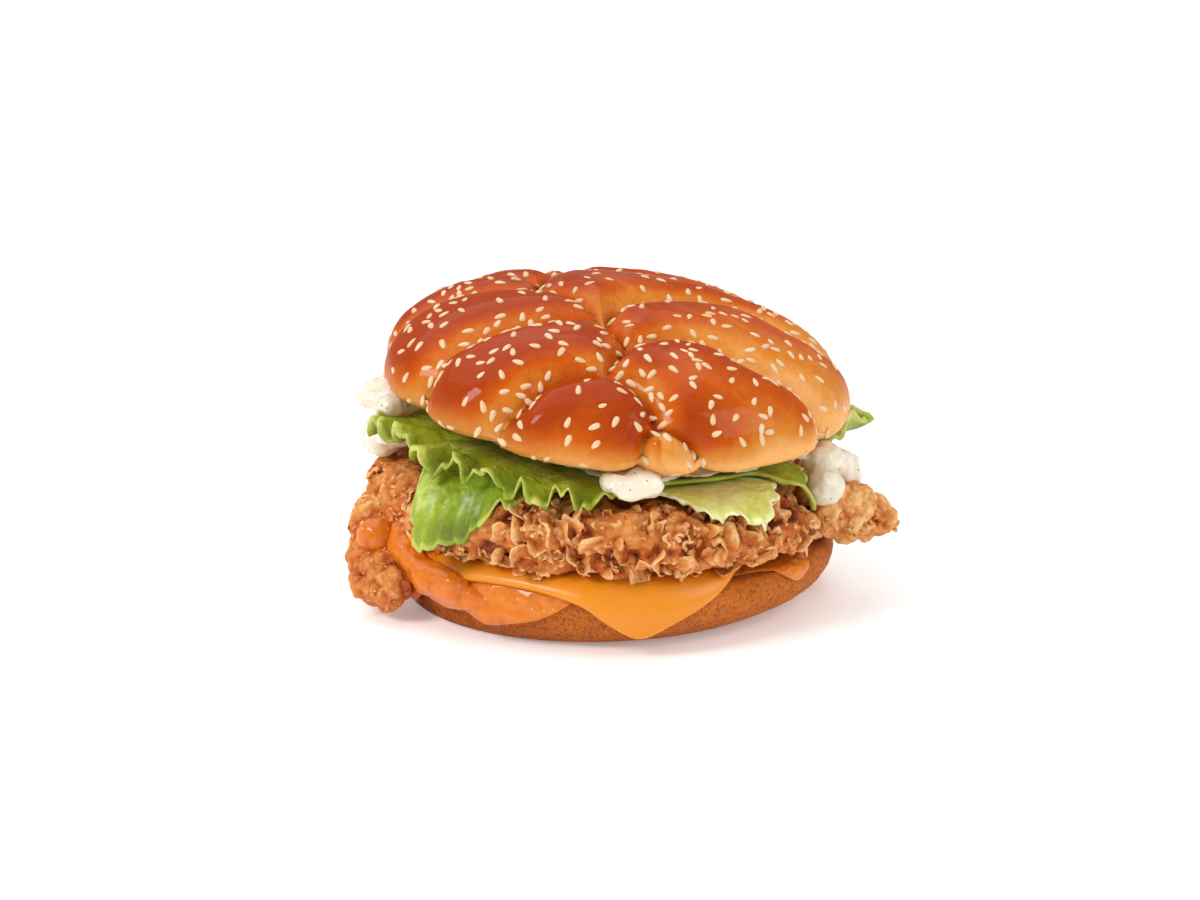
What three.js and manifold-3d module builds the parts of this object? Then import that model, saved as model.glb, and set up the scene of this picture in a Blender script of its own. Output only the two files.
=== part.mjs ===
// A chicken burger: the crown of a plaited sesame bun over mayonnaise, lettuce, a craggy fried
// fillet, a cheese slice and burger sauce, on the heel of the bun.
// Millimetres, +Z up. The stack's axis is x = y = 0 while it is modelled, and its front is -Y.

import * as THREE from 'three';
import { mergeVertices } from 'three/addons/utils/BufferGeometryUtils.js';
import Module from 'manifold-3d';

const wasm = await Module();
wasm.setup();

// Driving dimensions

const GAP = 0.35;

// The upper stack leans to the right by TILT and forwards by NOD.
const TILT = THREE.MathUtils.degToRad(6);
const NOD = THREE.MathUtils.degToRad(4);

const HEEL = { radius: 54, top: 14.5, bulgeHeight: 11, rimInset: 2.5, baseRadius: 42.5, baseShift: 11 };
const HEEL_ROWS = [HEEL.top, 13.6, HEEL.bulgeHeight, 7, 4, 1.8, 0];

const SAUCE = { height: 1.2, bead: 2.6, reach: 48.5, drips: 13, drip: 1.6 };
const SAUCE_SPILLS = [
  { angle: -158, width: 16, extra: 14 },
  { angle: -121, width: 18, extra: 14 },
  { angle: -37, width: 8, extra: 7 },
];

const CHEESE = { thickness: 2.4, bendStart: 48.6, bend: 6.9 };

// The slumped slice's straight edges: the way each one faces, and its distance from the axis.
const CHEESE_EDGES = [
  { facing: -53, distance: 55.6 },
  { facing: -119, distance: 55.2 },
  { facing: -170, distance: 52 },
  { facing: -20, distance: 40 },
  { facing: 60, distance: 43 },
  { facing: 142, distance: 46 },
];

// The rim's rounding above and below its middle goes by the powers over and under.
const FILLET = { bottom: 19.2, top: 38.4, edge: 10, over: 0.6, under: 0.32, clear: 1.5 };
const CRUST = { crag: 2.1, flake: 1.2 };
const FILLET_FALLS = { right: { fall: 7.5, from: 34, to: 54 }, left: { fall: 12, from: 20, to: 62 } };
const FILLET_RADII = [49, 51, 53, 56, 61.5, 56, 55, 53.5];
const FILLET_ARM = [[44, -13, 26, 8], [53, -13, 24, 6.8], [60, -12, 21.4, 5.6], [67.6, -12, 19.4, 4.2]];
const FILLET_TAIL = [
  [-52, 0, 28, 7.5],
  [-59.6, -10, 20, 6],
  [-60.4, -18, 13, 5.6],
  [-57.8, -26, 8.6, 5.8],
  [-52.4, -33, 9.8, 4.4],
];

const LEAF = { thickness: 0.8, flat: 46, hidden: 43, rufflesFrom: 14 };
const LEAVES = {
  lettuce_flap_leaf: {
    height: 39.5,
    lobes: [
      { angle: -135, width: 18, extra: 33, bend: 92 },
      { angle: 50, width: 35, extra: 15, bend: 40 },
    ],
    waves: { count: 15, phase: 0.6, size: 1.3 },
    steps: [[-174, 17], [-104, 12]],
    colour: '#8a9a2c',
  },
  lettuce_pale_leaf: {
    height: 40.7,
    lobes: [
      { angle: -58, width: 17, extra: 16, bend: 34 },
      { angle: 125, width: 25, extra: 14, bend: 30 },
    ],
    waves: { count: 24, phase: 2.1, size: 1.2 },
    steps: [[-98, 15], [-32, 12]],
    colour: '#c2cb77',
  },
  lettuce_ruffle_leaf: {
    height: 42.4,
    lobes: [
      { angle: -143, width: 24, extra: 18, bend: 6 },
      { angle: -105, width: 19, extra: 15, bend: 16 },
      { angle: -34, width: 6, extra: 15, bend: 55 },
      { angle: 5, width: 9, extra: 20, bend: -58 },
      { angle: 100, width: 40, extra: 15, bend: 25 },
    ],
    waves: { count: 38, phase: 1.2, size: 1.9 },
    steps: [[-176, 29], [-82, 3], [-50, 12], [20, 8]],
    colour: '#a5b53f',
  },
};

const MAYO = { bottom: 43.6, top: 44.9, radius: 44.5 };
const MAYO_LOBES = [
  { angle: -88, width: 9, extra: 9 },
  { angle: -15, width: 11, extra: 8 },
  { angle: 176, width: 20, extra: 9 },
  { angle: 75, width: 12, extra: 6 },
];
const MAYO_BLOBS = [
  { at: [2.5, -54, 42], size: [6.6, 7, 3.2] },
  { at: [49.5, -16, 36.6], size: [4.8, 4.8, 4.4] },
  { at: [49.6, -21, 31.4], size: [4.8, 4.4, 4.6] },
  { at: [56, -9, 31.6], size: [3.9, 4.4, 4.6] },
  { at: [53, -11.5, 34.8], size: [4.6, 4.4, 3.6] },
  { at: [-55, -5, 50], size: [6.5, 8, 3] },
];
const MAYO_LEFT_BLOBS = [
  { at: [-56, -2, 41], size: [7.2, 10, 4.2] },
  { at: [-59.5, 1, 37.4], size: [5, 8, 4.4] },
];
const SAUCE_DROP = [{ at: [-59.5, -20.5, 18.6], size: [4.8, 3.6, 4.8] }];

const CROWN = { radius: 58, rise: 22.7, under: 9, middle: 6, cut: -1, height: 46.4, left: 1.6, swells: 19 };
const CROWN_POWER = { round: 2.4, flat: 2.2 };
const CROWN_ROWS = [83, 76, 70, 65, 60, 55, 50, 45, 39, 33, 26, 19, 11, 2, -8, -20, -34, -50];
const CREASE_POWER = 2.2;

// The plait's creases run over the dome as lines of [azimuth, latitude] in degrees. The lobe on a
// line's right rides over the one on its left, so it turns down to the crease in a shorter width.
const CREASES = [
  { depth: 5, over: 7, beneath: 13, line: [[-176, -20], [-179, 15], [-183, 32], [-188, 46], [-198, 72]] },
  { depth: 5, over: 8, beneath: 14, line: [[-146, -25], [-146, 8], [-147, 55], [-125, 78], [-104, 78]] },
  { depth: 6, over: 8, beneath: 14, line: [[-122, -45], [-118, 12], [-115, 31], [-111, 41], [-96, 50]] },
  { depth: 5.5, over: 8, beneath: 12, line: [[-96, 50], [-87, 45], [-82, 34], [-81, 22]] },
  { depth: 4, over: 8, beneath: 8, line: [[-81, 22], [-84, 12], [-84, -5], [-85, -30]] },
  { depth: 4, over: 9, beneath: 6, line: [[-66, -42], [-69, -10], [-73, 11], [-77, 19], [-81, 22]] },
  { depth: 5, over: 8, beneath: 8, line: [[-96, 50], [-95, 57], [-88, 68]] },
  { depth: 5, over: 8, beneath: 9, line: [[-104, 78], [-97, 75], [-88, 68]] },
  {
    depth: 5.5,
    over: 8,
    beneath: 14,
    line: [[-88, 68], [-72, 71], [-55, 70], [-42, 62], [-39, 49], [-32, 33], [-29, 4], [-28, -40]],
  },
  {
    depth: 5,
    over: 8,
    beneath: 13,
    line: [[-104, 78], [-120, 85], [30, 88], [28, 72], [20, 60], [6, 46], [4, 20], [2, -25]],
  },
  { depth: 5, over: 9, beneath: 9, line: [[-198, 72], [-196, 79], [-150, 83], [-104, 78]] },
  {
    depth: 4.5,
    over: 9,
    beneath: 9,
    line: [[162, 72], [150, 68], [134, 62], [117, 56], [105, 43], [97, 22], [94, -25]],
  },
  { depth: 4.5, over: 9, beneath: 11, line: [[154, -25], [153, 12], [147, 38], [134, 62]] },
  { depth: 4.5, over: 9, beneath: 11, line: [[126, -25], [126, 12], [120, 38], [117, 56]] },
  { depth: 4.5, over: 9, beneath: 11, line: [[117, 56], [80, 62], [55, 58], [38, 42], [32, 12], [30, -25]] },
  { depth: 4.5, over: 9, beneath: 11, line: [[105, 43], [84, 42], [70, 34], [62, 12], [60, -25]] },
];

const SEED = { count: 70, length: 3.3, width: 2.1, thickness: 1.3, sunk: 0.15, spacing: 3.4, draw: 20240611 };

// Small helpers

const { degToRad, lerp, smoothstep, clamp } = THREE.MathUtils;

// Height by which a level of the leaning stack differs from its height on the axis.
function lean(point) {
  return point.y * Math.tan(NOD) - point.x * Math.tan(TILT);
}

// A bell of height 1 at centre, for angles in degrees that wrap round.
function bell(angle, centre, width) {
  const turn = ((angle - centre + 540) % 360) - 180;
  return Math.exp(-((turn / width) ** 2));
}

function sumOfBells(angle, lobes, key) {
  return lobes.reduce((sum, lobe) => sum + lobe[key] * bell(angle, lobe.angle, lobe.width), 0);
}

// Smooth radius through values that are spread evenly round the circle from azimuth 0.
function roundOutline(angle, values) {
  const place = (((angle / 360) * values.length) % values.length + values.length) % values.length;
  const first = Math.floor(place);
  const blend = smoothstep(place - first, 0, 1);
  return lerp(values[first], values[(first + 1) % values.length], blend);
}

function latticeValue(x, y, z) {
  const wave = Math.sin(x * 127.1 + y * 311.7 + z * 74.7) * 43758.5453;
  return 2 * (wave - Math.floor(wave)) - 1;
}

// Smooth noise from -1 to 1 with lumps of the given size.
function lumps(point, size) {
  const [x, y, z] = [point.x / size, point.y / size, point.z / size];
  const [i, j, k] = [Math.floor(x), Math.floor(y), Math.floor(z)];
  const [u, v, w] = [smoothstep(x - i, 0, 1), smoothstep(y - j, 0, 1), smoothstep(z - k, 0, 1)];
  const along = (dj, dk) => lerp(latticeValue(i, j + dj, k + dk), latticeValue(i + 1, j + dj, k + dk), u);
  return lerp(lerp(along(0, 0), along(1, 0), v), lerp(along(0, 1), along(1, 1), v), w);
}

function polar(angle, radius, z) {
  const turn = degToRad(angle);
  return new THREE.Vector3(radius * Math.cos(turn), radius * Math.sin(turn), z);
}

function evenAngles(count) {
  return Array.from({ length: count }, (_, step) => (360 * step) / count);
}

// Angles round the circle from stretches of [first angle, number of steps to the next stretch].
function stretchedAngles(stretches) {
  return stretches.flatMap(([first, steps], place) => {
    const last = place + 1 < stretches.length ? stretches[place + 1][0] : stretches[0][0] + 360;
    return Array.from({ length: steps }, (_, step) => lerp(first, last, step / steps));
  });
}

// A closed solid from rings of points that run anticlockwise seen from above, from the point
// `first` through the rings to the point `last`. Rings go down the outside.
function ringSolid(first, rings, last) {
  const count = rings[0].length;
  const points = [first, ...rings.flat(), last];
  const index = [];
  const at = (row, column) => 1 + row * count + (column % count);
  for (let column = 0; column < count; column++) {
    index.push(0, at(0, column), at(0, column + 1));
    index.push(points.length - 1, at(rings.length - 1, column + 1), at(rings.length - 1, column));
    for (let row = 0; row + 1 < rings.length; row++) {
      index.push(at(row, column), at(row + 1, column), at(row + 1, column + 1));
      index.push(at(row, column), at(row + 1, column + 1), at(row, column + 1));
    }
  }
  return new THREE.BufferGeometry().setFromPoints(points).setIndex(index);
}

function toSolid(geometry) {
  const bare = geometry.clone();
  bare.deleteAttribute('normal');
  bare.deleteAttribute('uv');
  const merged = mergeVertices(bare, 1e-4);
  const vertProperties = new Float32Array(merged.attributes.position.array);
  const triVerts = new Uint32Array(merged.index.array);
  return new wasm.Manifold(new wasm.Mesh({ numProp: 3, vertProperties, triVerts }));
}

function toGeometry(solid) {
  const mesh = solid.getMesh();
  const geometry = new THREE.BufferGeometry();
  geometry.setAttribute('position', new THREE.BufferAttribute(new Float32Array(mesh.vertProperties), 3));
  geometry.setIndex([...mesh.triVerts]);
  return geometry;
}

// The largest of the bodies in a solid, without loose scraps.
function largestBody(solid) {
  return solid.decompose().reduce((best, body) => (body.volume() > best.volume() ? body : best));
}

function join(geometries) {
  return geometries.map(toSolid).reduce((whole, piece) => whole.add(piece));
}

// A rounded lump, grown by a margin all round.
function blob({ at, size }, margin = 0) {
  const geometry = new THREE.SphereGeometry(1, 8, 6);
  const [sx, sy, sz] = size.map((half) => half + margin);
  geometry.scale(sx, sy, sz);
  geometry.translate(...at);
  return geometry;
}

// The heel of the bun: flat cut top, rounded crust, and a base that is set over to the left

function heelRadius(angle, z) {
  const base = HEEL.baseRadius - HEEL.baseShift * Math.cos(degToRad(angle));
  if (z >= HEEL.bulgeHeight) {
    const climb = Math.min(1, (z - HEEL.bulgeHeight) / (HEEL.top - HEEL.bulgeHeight));
    return HEEL.radius - HEEL.rimInset * (1 - Math.sqrt(1 - climb ** 2));
  }
  const drop = 1 - Math.max(0, z) / HEEL.bulgeHeight;
  return base + (HEEL.radius - base) * Math.sqrt(1 - drop ** 2);
}

function heelGeometry(margin = 0) {
  const angles = evenAngles(40);
  const rings = HEEL_ROWS.map((z) => angles.map((angle) => (
    polar(angle, heelRadius(angle, z) + margin, z + margin)
  )));
  const top = new THREE.Vector3(0, 0, HEEL.top + margin);
  return ringSolid(top, rings, new THREE.Vector3(-HEEL.baseShift, 0, margin));
}

// Burger sauce: a thin layer on the heel that runs over its edge at the front left and right

function sauceReach(angle) {
  const spill = sumOfBells(angle, SAUCE_SPILLS, 'extra');
  const drips = SAUCE.drip * Math.sin(degToRad(angle * SAUCE.drips)) * (spill / SAUCE_SPILLS[0].extra);
  return SAUCE.reach + spill + drips;
}

// Distances from the axis for a draped layer's rows: closest where it turns over its edge.
function drapeRows(reach, edge) {
  const turn = Math.min(edge, reach - 4);
  return [0.5 * turn, ...[0, 0.1, 0.25, 0.5, 0.77, 1].map((share) => lerp(turn, reach, share))];
}

function saucePoint(angle, row, outside) {
  const reach = sauceReach(angle);
  const rim = HEEL.radius - HEEL.rimInset;
  const place = row < 0 ? 0 : drapeRows(reach, rim)[row];
  const edge = Math.sqrt(1 - (place / reach) ** 6);
  const fill = outside ? 0.3 + 0.7 * edge : 0;
  if (place <= rim) {
    return polar(angle, place, HEEL.top + GAP + SAUCE.height * fill);
  }
  const depth = place - rim;
  const z = HEEL.top + GAP - depth;
  const thickness = (SAUCE.height + SAUCE.bead * smoothstep(depth, 3, 9)) * fill;
  const lift = SAUCE.height * (1 - smoothstep(depth, 0, 4)) * fill;
  return polar(angle, heelRadius(angle, z) + GAP + thickness, z + lift);
}

// A sheet that is draped over what is under it: rows of points out over its top and back below.
function drapedSolid(angles, pointAt) {
  const rows = [0, 1, 2, 3, 4, 5, 6];
  const over = rows.map((row) => angles.map((angle) => pointAt(angle, row, true)));
  const below = rows.map((row) => angles.map((angle) => pointAt(angle, row, false))).reverse();
  return ringSolid(pointAt(0, -1, true), [...over, ...below], pointAt(0, -1, false));
}

function sauceGeometry() {
  const layer = drapedSolid(stretchedAngles([[-176, 17], [-94, 15]]), saucePoint);
  return toGeometry(largestBody(toSolid(layer).subtract(toSolid(heelGeometry(GAP)))));
}

// The cheese slice: it slumps over the heel's edge, and one corner hangs down at the front

const CHEESE_REST = HEEL.top + 2 * GAP + SAUCE.height + 0.1;

function cheeseReach(angle) {
  const reaches = CHEESE_EDGES.map(({ facing, distance }) => {
    const share = Math.cos(degToRad(angle - facing));
    return share > 0.1 ? distance / share : Infinity;
  });
  return Math.min(...reaches);
}

// Where the slice starts to turn down and the radius of its turn: both larger over the sauce.
function cheeseBend(angle) {
  const spill = smoothstep(sauceReach(angle - 4), 49, 55);
  return { start: CHEESE.bendStart + 1.2 * spill, bend: CHEESE.bend + 2.4 * spill };
}

function cheesePoint(angle, row, outside) {
  const { start, bend } = cheeseBend(angle);
  const reach = cheeseReach(angle);
  const place = row < 0 ? 0 : drapeRows(reach, start)[row];
  const along = Math.max(0, place - start);
  const turn = Math.min(along / bend, degToRad(84));
  const hang = along - turn * bend;
  const thickness = outside ? CHEESE.thickness * (0.5 + 0.5 * Math.sqrt(1 - (place / reach) ** 12)) : 0;
  const radius = Math.min(place, start) + (bend + thickness) * Math.sin(turn) + hang * Math.cos(turn);
  const z = CHEESE_REST - bend + (bend + thickness) * Math.cos(turn) - hang * Math.sin(turn);
  return polar(angle, radius, z);
}

function cheeseGeometry() {
  return drapedSolid(stretchedAngles([[-130.1, 16], [-42.1, 20]]), cheesePoint);
}

// The fried fillet: a thick craggy slab with an arm to the right and a tail down at the left

function crags(point) {
  return CRUST.crag * lumps(point, 8) + CRUST.flake * lumps(point, 4.2);
}

function filletTop(point) {
  const { right, left } = FILLET_FALLS;
  const rightFall = right.fall * smoothstep(point.x, right.from, right.to);
  const leftFall = left.fall * smoothstep(-point.x, left.from, left.to);
  return FILLET.top + lean(point) - rightFall - leftFall;
}

// How far the cheese slice has turned down under the fillet's rim at a distance from the axis.
function cheeseFall(angle, radius) {
  const { start, bend } = cheeseBend(angle);
  const skin = bend + CHEESE.thickness;
  const across = clamp((radius - start) / skin, 0, 0.8);
  return skin * (1 - Math.sqrt(1 - across ** 2));
}

function filletPoint(angle, rise) {
  const turn = degToRad(rise);
  const roundness = rise > 0 ? FILLET.over : FILLET.under;
  const radius = roundOutline(angle, FILLET_RADII) - FILLET.edge * (1 - Math.cos(turn) ** roundness);
  const rim = polar(angle, radius, 0);
  const top = filletTop(rim);
  const middle = (top + FILLET.bottom) / 2;
  const half = (top - FILLET.bottom) / 2;
  rim.z = middle + half * Math.sign(rise) * Math.abs(Math.sin(turn)) ** 0.75;
  const relief = crags(rim) * Math.cos(turn) ** 0.5;
  const scale = (radius + relief) / radius;
  rim.x *= scale;
  rim.y *= scale;
  rim.z = clamp(rim.z + 0.5 * relief * Math.sin(turn), FILLET.bottom, top);
  rim.z -= Math.max(0, -Math.sin(turn)) * cheeseFall(angle, radius + relief - FILLET.clear);
  return rim;
}

function filletSlab() {
  const angles = evenAngles(74);
  const flat = (share, z) => angles.map((angle) => {
    const rim = polar(angle, share * roundOutline(angle, FILLET_RADII), 0);
    rim.z = z === undefined ? filletTop(rim) : z;
    return rim;
  });
  const sides = [89.9, 60, 38, 17, -3, -23, -46, -89.9];
  const rings = [
    flat(0.5),
    ...sides.map((rise) => angles.map((angle) => filletPoint(angle, rise))),
    flat(0.5, FILLET.bottom),
  ];
  return ringSolid(new THREE.Vector3(0, 0, FILLET.top), rings, new THREE.Vector3(0, 0, FILLET.bottom));
}

// A craggy roll along a path of [x, y, z, radius], with rounded ends.
function craggyRoll(path, steps, sides) {
  const spine = new THREE.CatmullRomCurve3(path.map(([x, y, z]) => new THREE.Vector3(x, y, z)));
  const girth = new THREE.CatmullRomCurve3(path.map(([, , , radius]) => new THREE.Vector3(radius, 0, 0)));
  const rings = [];
  for (let step = 1; step < steps; step++) {
    const share = step / steps;
    const centre = spine.getPoint(share);
    const tangent = spine.getTangent(share);
    const side = new THREE.Vector3().crossVectors(tangent, new THREE.Vector3(0, 0, 1)).normalize();
    const up = new THREE.Vector3().crossVectors(side, tangent);
    const radius = girth.getPoint(share).x * Math.sqrt(1 - (2 * share - 1) ** 6);
    rings.push(evenAngles(sides).map((angle) => {
      const turn = degToRad(angle);
      const out = side.clone().multiplyScalar(Math.cos(turn)).addScaledVector(up, Math.sin(turn));
      const skin = centre.clone().addScaledVector(out, radius);
      return skin.addScaledVector(out, 0.45 * crags(skin));
    }));
  }
  return ringSolid(spine.getPoint(0), rings, spine.getPoint(1));
}

function filletGeometry() {
  let fillet = join([filletSlab(), craggyRoll(FILLET_ARM, 9, 12), craggyRoll(FILLET_TAIL, 11, 12)]);
  for (const lump of [...MAYO_BLOBS.slice(1), ...MAYO_LEFT_BLOBS, ...SAUCE_DROP]) {
    fillet = fillet.subtract(toSolid(blob(lump, GAP)));
  }
  return toGeometry(largestBody(fillet));
}

// Lettuce: each leaf is a thin sheet that lies flat in the stack and ruffles where it shows

function leafPoint(leaf, angle, fraction, offset) {
  const reach = LEAF.hidden + sumOfBells(angle, leaf.lobes, 'extra');
  const show = Math.max(0.01, reach - LEAF.flat);
  const along = Math.max(0, reach * fraction - LEAF.flat);
  const curl = degToRad(sumOfBells(angle, leaf.lobes, 'bend')) / show;
  const turn = curl * along;
  const out = Math.abs(curl) > 1e-4 ? Math.sin(turn) / curl : along;
  const drop = Math.abs(curl) > 1e-4 ? (1 - Math.cos(turn)) / curl : 0;
  const { count, phase, size } = leaf.waves;
  const swing = Math.sin(degToRad(angle) * count + phase) + 0.4 * Math.sin(degToRad(angle) * count * 0.43);
  const wave = size * swing * Math.min(1, along / LEAF.rufflesFrom) ** 1.4;
  const radius = Math.min(reach * fraction, LEAF.flat) + out + (wave + offset) * Math.sin(turn);
  const point = polar(angle, radius, 0);
  point.z = leaf.height + lean(point) - drop + (wave + offset) * Math.cos(turn);
  return point;
}

// Both faces of a leaf are split into triangles alike.
function leafGeometry(leaf, margin = 0) {
  const angles = stretchedAngles(leaf.steps);
  const fractions = [0.5, 0.78, 0.86, 0.93, 1];
  const face = (offset) => [leafPoint(leaf, 0, 0, offset), ...fractions.flatMap((fraction) => (
    angles.map((angle) => leafPoint(leaf, angle, fraction, offset))
  ))];
  const upper = face(LEAF.thickness + margin);
  const points = [...upper, ...face(-margin)];
  const count = angles.length;
  const index = [];
  const at = (row, column) => 1 + row * count + (column % count);
  const addBoth = (a, b, c) => index.push(a, b, c, upper.length + a, upper.length + c, upper.length + b);
  for (let column = 0; column < count; column++) {
    addBoth(0, at(0, column), at(0, column + 1));
    for (let row = 0; row + 1 < fractions.length; row++) {
      addBoth(at(row, column), at(row + 1, column), at(row + 1, column + 1));
      addBoth(at(row, column), at(row + 1, column + 1), at(row, column + 1));
    }
    const [here, next] = [at(fractions.length - 1, column), at(fractions.length - 1, column + 1)];
    index.push(here, upper.length + here, upper.length + next, here, upper.length + next, next);
  }
  return new THREE.BufferGeometry().setFromPoints(points).setIndex(index);
}

// Mayonnaise: a layer under the crown with lobes that squeeze out, and dollops at its edge

function mayoPoint(angle, fraction, offset) {
  const reach = MAYO.radius + sumOfBells(angle, MAYO_LOBES, 'extra');
  const edge = Math.sqrt(1 - Math.min(1, fraction) ** 8);
  const point = polar(angle, reach * fraction, 0);
  const middle = (MAYO.top + MAYO.bottom) / 2;
  point.z = middle + lean(point) + (offset * (0.3 + 0.7 * edge) * (MAYO.top - MAYO.bottom)) / 2;
  return point;
}

function mayoLayer() {
  const angles = evenAngles(28);
  const ring = (fraction, offset) => angles.map((angle) => mayoPoint(angle, fraction, offset));
  const rings = [ring(0.5, 1), ring(0.93, 1), ring(1, 0), ring(0.93, -1), ring(0.5, -1)];
  return ringSolid(mayoPoint(0, 0, 1), rings, mayoPoint(0, 0, -1));
}

function mayoGeometry(crown) {
  let mayo = join([mayoLayer(), ...MAYO_BLOBS.map((lump) => blob(lump))]);
  for (const leaf of Object.values(LEAVES)) {
    mayo = mayo.subtract(toSolid(leafGeometry(leaf, GAP)));
  }
  return toGeometry(largestBody(mayo.subtract(crown)));
}

// The crown: a low dome whose plaited lobes meet in creases, with sesame seeds baked on

function domePoint(azimuth, latitude) {
  const lat = degToRad(latitude);
  const radius = CROWN.radius * Math.cos(lat) ** (2 / CROWN_POWER.round);
  const height = Math.abs(Math.sin(lat)) ** (2 / CROWN_POWER.flat);
  return polar(azimuth, radius, CROWN.middle + (lat < 0 ? -CROWN.under : CROWN.rise) * height);
}

function domeNormal(point) {
  const reach = Math.hypot(point.x, point.y);
  const radial = (reach / CROWN.radius) ** (CROWN_POWER.round - 1) / CROWN.radius;
  const span = point.z < CROWN.middle ? CROWN.under : CROWN.rise;
  const lift = (Math.abs(point.z - CROWN.middle) / span) ** (CROWN_POWER.flat - 1) / span;
  const share = reach > 0 ? radial / reach : 0;
  const z = Math.sign(point.z - CROWN.middle) * lift;
  return new THREE.Vector3(point.x * share, point.y * share, z).normalize();
}

const creases = CREASES.map(({ line, ...widths }) => {
  const points = line.map(([azimuth, latitude]) => domePoint(azimuth, latitude));
  const curve = new THREE.CatmullRomCurve3(points, false, 'catmullrom', 0.5);
  return { ...widths, points: curve.getPoints(7 * (line.length - 1)) };
});

// How far the crown's skin lies below the dome at a point, from the creases that are near it.
function creaseDepth(point, normal) {
  let depth = 0;
  const nearest = new THREE.Vector3();
  const segment = new THREE.Line3();
  for (const crease of creases) {
    let best = Infinity;
    let side = 1;
    for (let step = 0; step + 1 < crease.points.length; step++) {
      segment.set(crease.points[step], crease.points[step + 1]);
      segment.closestPointToPoint(point, true, nearest);
      const apart = point.clone().sub(nearest);
      if (apart.length() < best) {
        best = apart.length();
        side = segment.delta(new THREE.Vector3()).cross(normal).dot(apart);
      }
    }
    const width = side > 0 ? crease.over : crease.beneath;
    depth = Math.max(depth, crease.depth * Math.max(0, 1 - best / width) ** CREASE_POWER);
  }
  return depth;
}

function crownPoint(azimuth, latitude) {
  const point = domePoint(azimuth, latitude);
  const normal = domeNormal(point);
  const above = smoothstep(point.z, CROWN.cut, CROWN.middle + 1);
  const crease = creaseDepth(point, normal) * (0.3 + 0.7 * above);
  point.addScaledVector(normal, 0.5 * lumps(point, CROWN.swells) - crease);
  point.z = Math.max(point.z, CROWN.cut);
  return point;
}

function crownBody() {
  const angles = evenAngles(70);
  const rings = CROWN_ROWS.map((latitude) => angles.map((azimuth) => crownPoint(azimuth, latitude)));
  rings[rings.length - 1].forEach((point) => {
    point.z = CROWN.cut;
  });
  return ringSolid(crownPoint(0, 90), rings, new THREE.Vector3(0, 0, CROWN.cut));
}

// Seeds lie thickest on the top and along the creases, and thin out down the sides.
function seedShare(latitude, depth) {
  return 0.12 + 0.5 * smoothstep(latitude, -5, 45) + 0.5 * smoothstep(depth, 0.2, 2.4);
}

function sesameSeeds() {
  let state = SEED.draw;
  const draw = () => {
    state = (state * 1664525 + 1013904223) % 4294967296;
    return state / 4294967296;
  };
  const places = [];
  const seeds = [];
  while (seeds.length < SEED.count) {
    const azimuth = 360 * draw();
    const latitude = THREE.MathUtils.radToDeg(Math.asin(lerp(-0.3, 1, draw())));
    const [chance, spin] = [draw(), Math.PI * draw()];
    const base = domePoint(azimuth, latitude);
    const spot = crownPoint(azimuth, latitude);
    const taken = places.some((place) => place.distanceTo(spot) < SEED.spacing);
    if (taken || chance > seedShare(latitude, creaseDepth(base, domeNormal(base)))) {
      continue;
    }
    places.push(spot);
    const along = crownPoint(azimuth + 1, latitude).sub(spot);
    const down = crownPoint(azimuth, latitude - 1).sub(spot);
    const up = new THREE.Vector3().crossVectors(down, along).normalize();
    const length = along.normalize().applyAxisAngle(up, spin);
    const width = new THREE.Vector3().crossVectors(up, length);
    const size = 1.1 - (0.2 * seeds.length) / SEED.count;
    const seed = new THREE.SphereGeometry(0.5, 5, 3);
    seed.rotateZ(Math.PI / 2);
    seed.scale(SEED.length * size, SEED.width * size, SEED.thickness * size);
    spot.addScaledVector(up, -SEED.sunk);
    seed.applyMatrix4(new THREE.Matrix4().makeBasis(length, width, up).setPosition(spot));
    seeds.push(seed);
  }
  return seeds;
}

function crownGeometry() {
  return toGeometry(largestBody(join([crownBody(), ...sesameSeeds()])));
}

// The whole stack, with its origin under the middle of its box

const burger = new THREE.Group();

function addPiece(name, geometry, colour, roughness) {
  const material = new THREE.MeshStandardMaterial({ color: colour, roughness, metalness: 0 });
  const mesh = new THREE.Mesh(geometry, material);
  mesh.name = name;
  burger.add(mesh);
  return mesh;
}

const crownTurn = new THREE.Euler(NOD, TILT, 0);
const crownSpot = new THREE.Vector3(-CROWN.left, 0, CROWN.height);
const crownPlace = new THREE.Matrix4().makeRotationFromEuler(crownTurn).setPosition(crownSpot);
const crownMargin = crownBody().scale(1.01, 1.01, 1.01).translate(0, 0, -GAP).applyMatrix4(crownPlace);

addPiece('bottom_bun', heelGeometry(), '#b1602a', 0.75);
addPiece('burger_sauce', sauceGeometry(), '#e08a3a', 0.3);
addPiece('burger_sauce_drop', blob(SAUCE_DROP[0]), '#d8842f', 0.3);
addPiece('cheese_slice', cheeseGeometry(), '#ea9136', 0.42);
addPiece('chicken_fillet', filletGeometry(), '#c98a4f', 0.65);
addPiece('mayonnaise_dollop', toGeometry(join(MAYO_LEFT_BLOBS.map((lump) => blob(lump)))), '#eee0d2', 0.28);
for (const [name, leaf] of Object.entries(LEAVES)) {
  addPiece(name, leafGeometry(leaf), leaf.colour, 0.45);
}
addPiece('mayonnaise_layer', mayoGeometry(toSolid(crownMargin)), '#eee0d2', 0.28);
const crown = addPiece('top_bun', crownGeometry(), '#c8601c', 0.35);
crown.rotation.copy(crownTurn);
crown.position.copy(crownSpot);

const bounds = new THREE.Box3().setFromObject(burger, true);
const centre = bounds.getCenter(new THREE.Vector3());
burger.position.set(-centre.x, -centre.y, -bounds.min.z);

export default burger;
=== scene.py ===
import math

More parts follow.
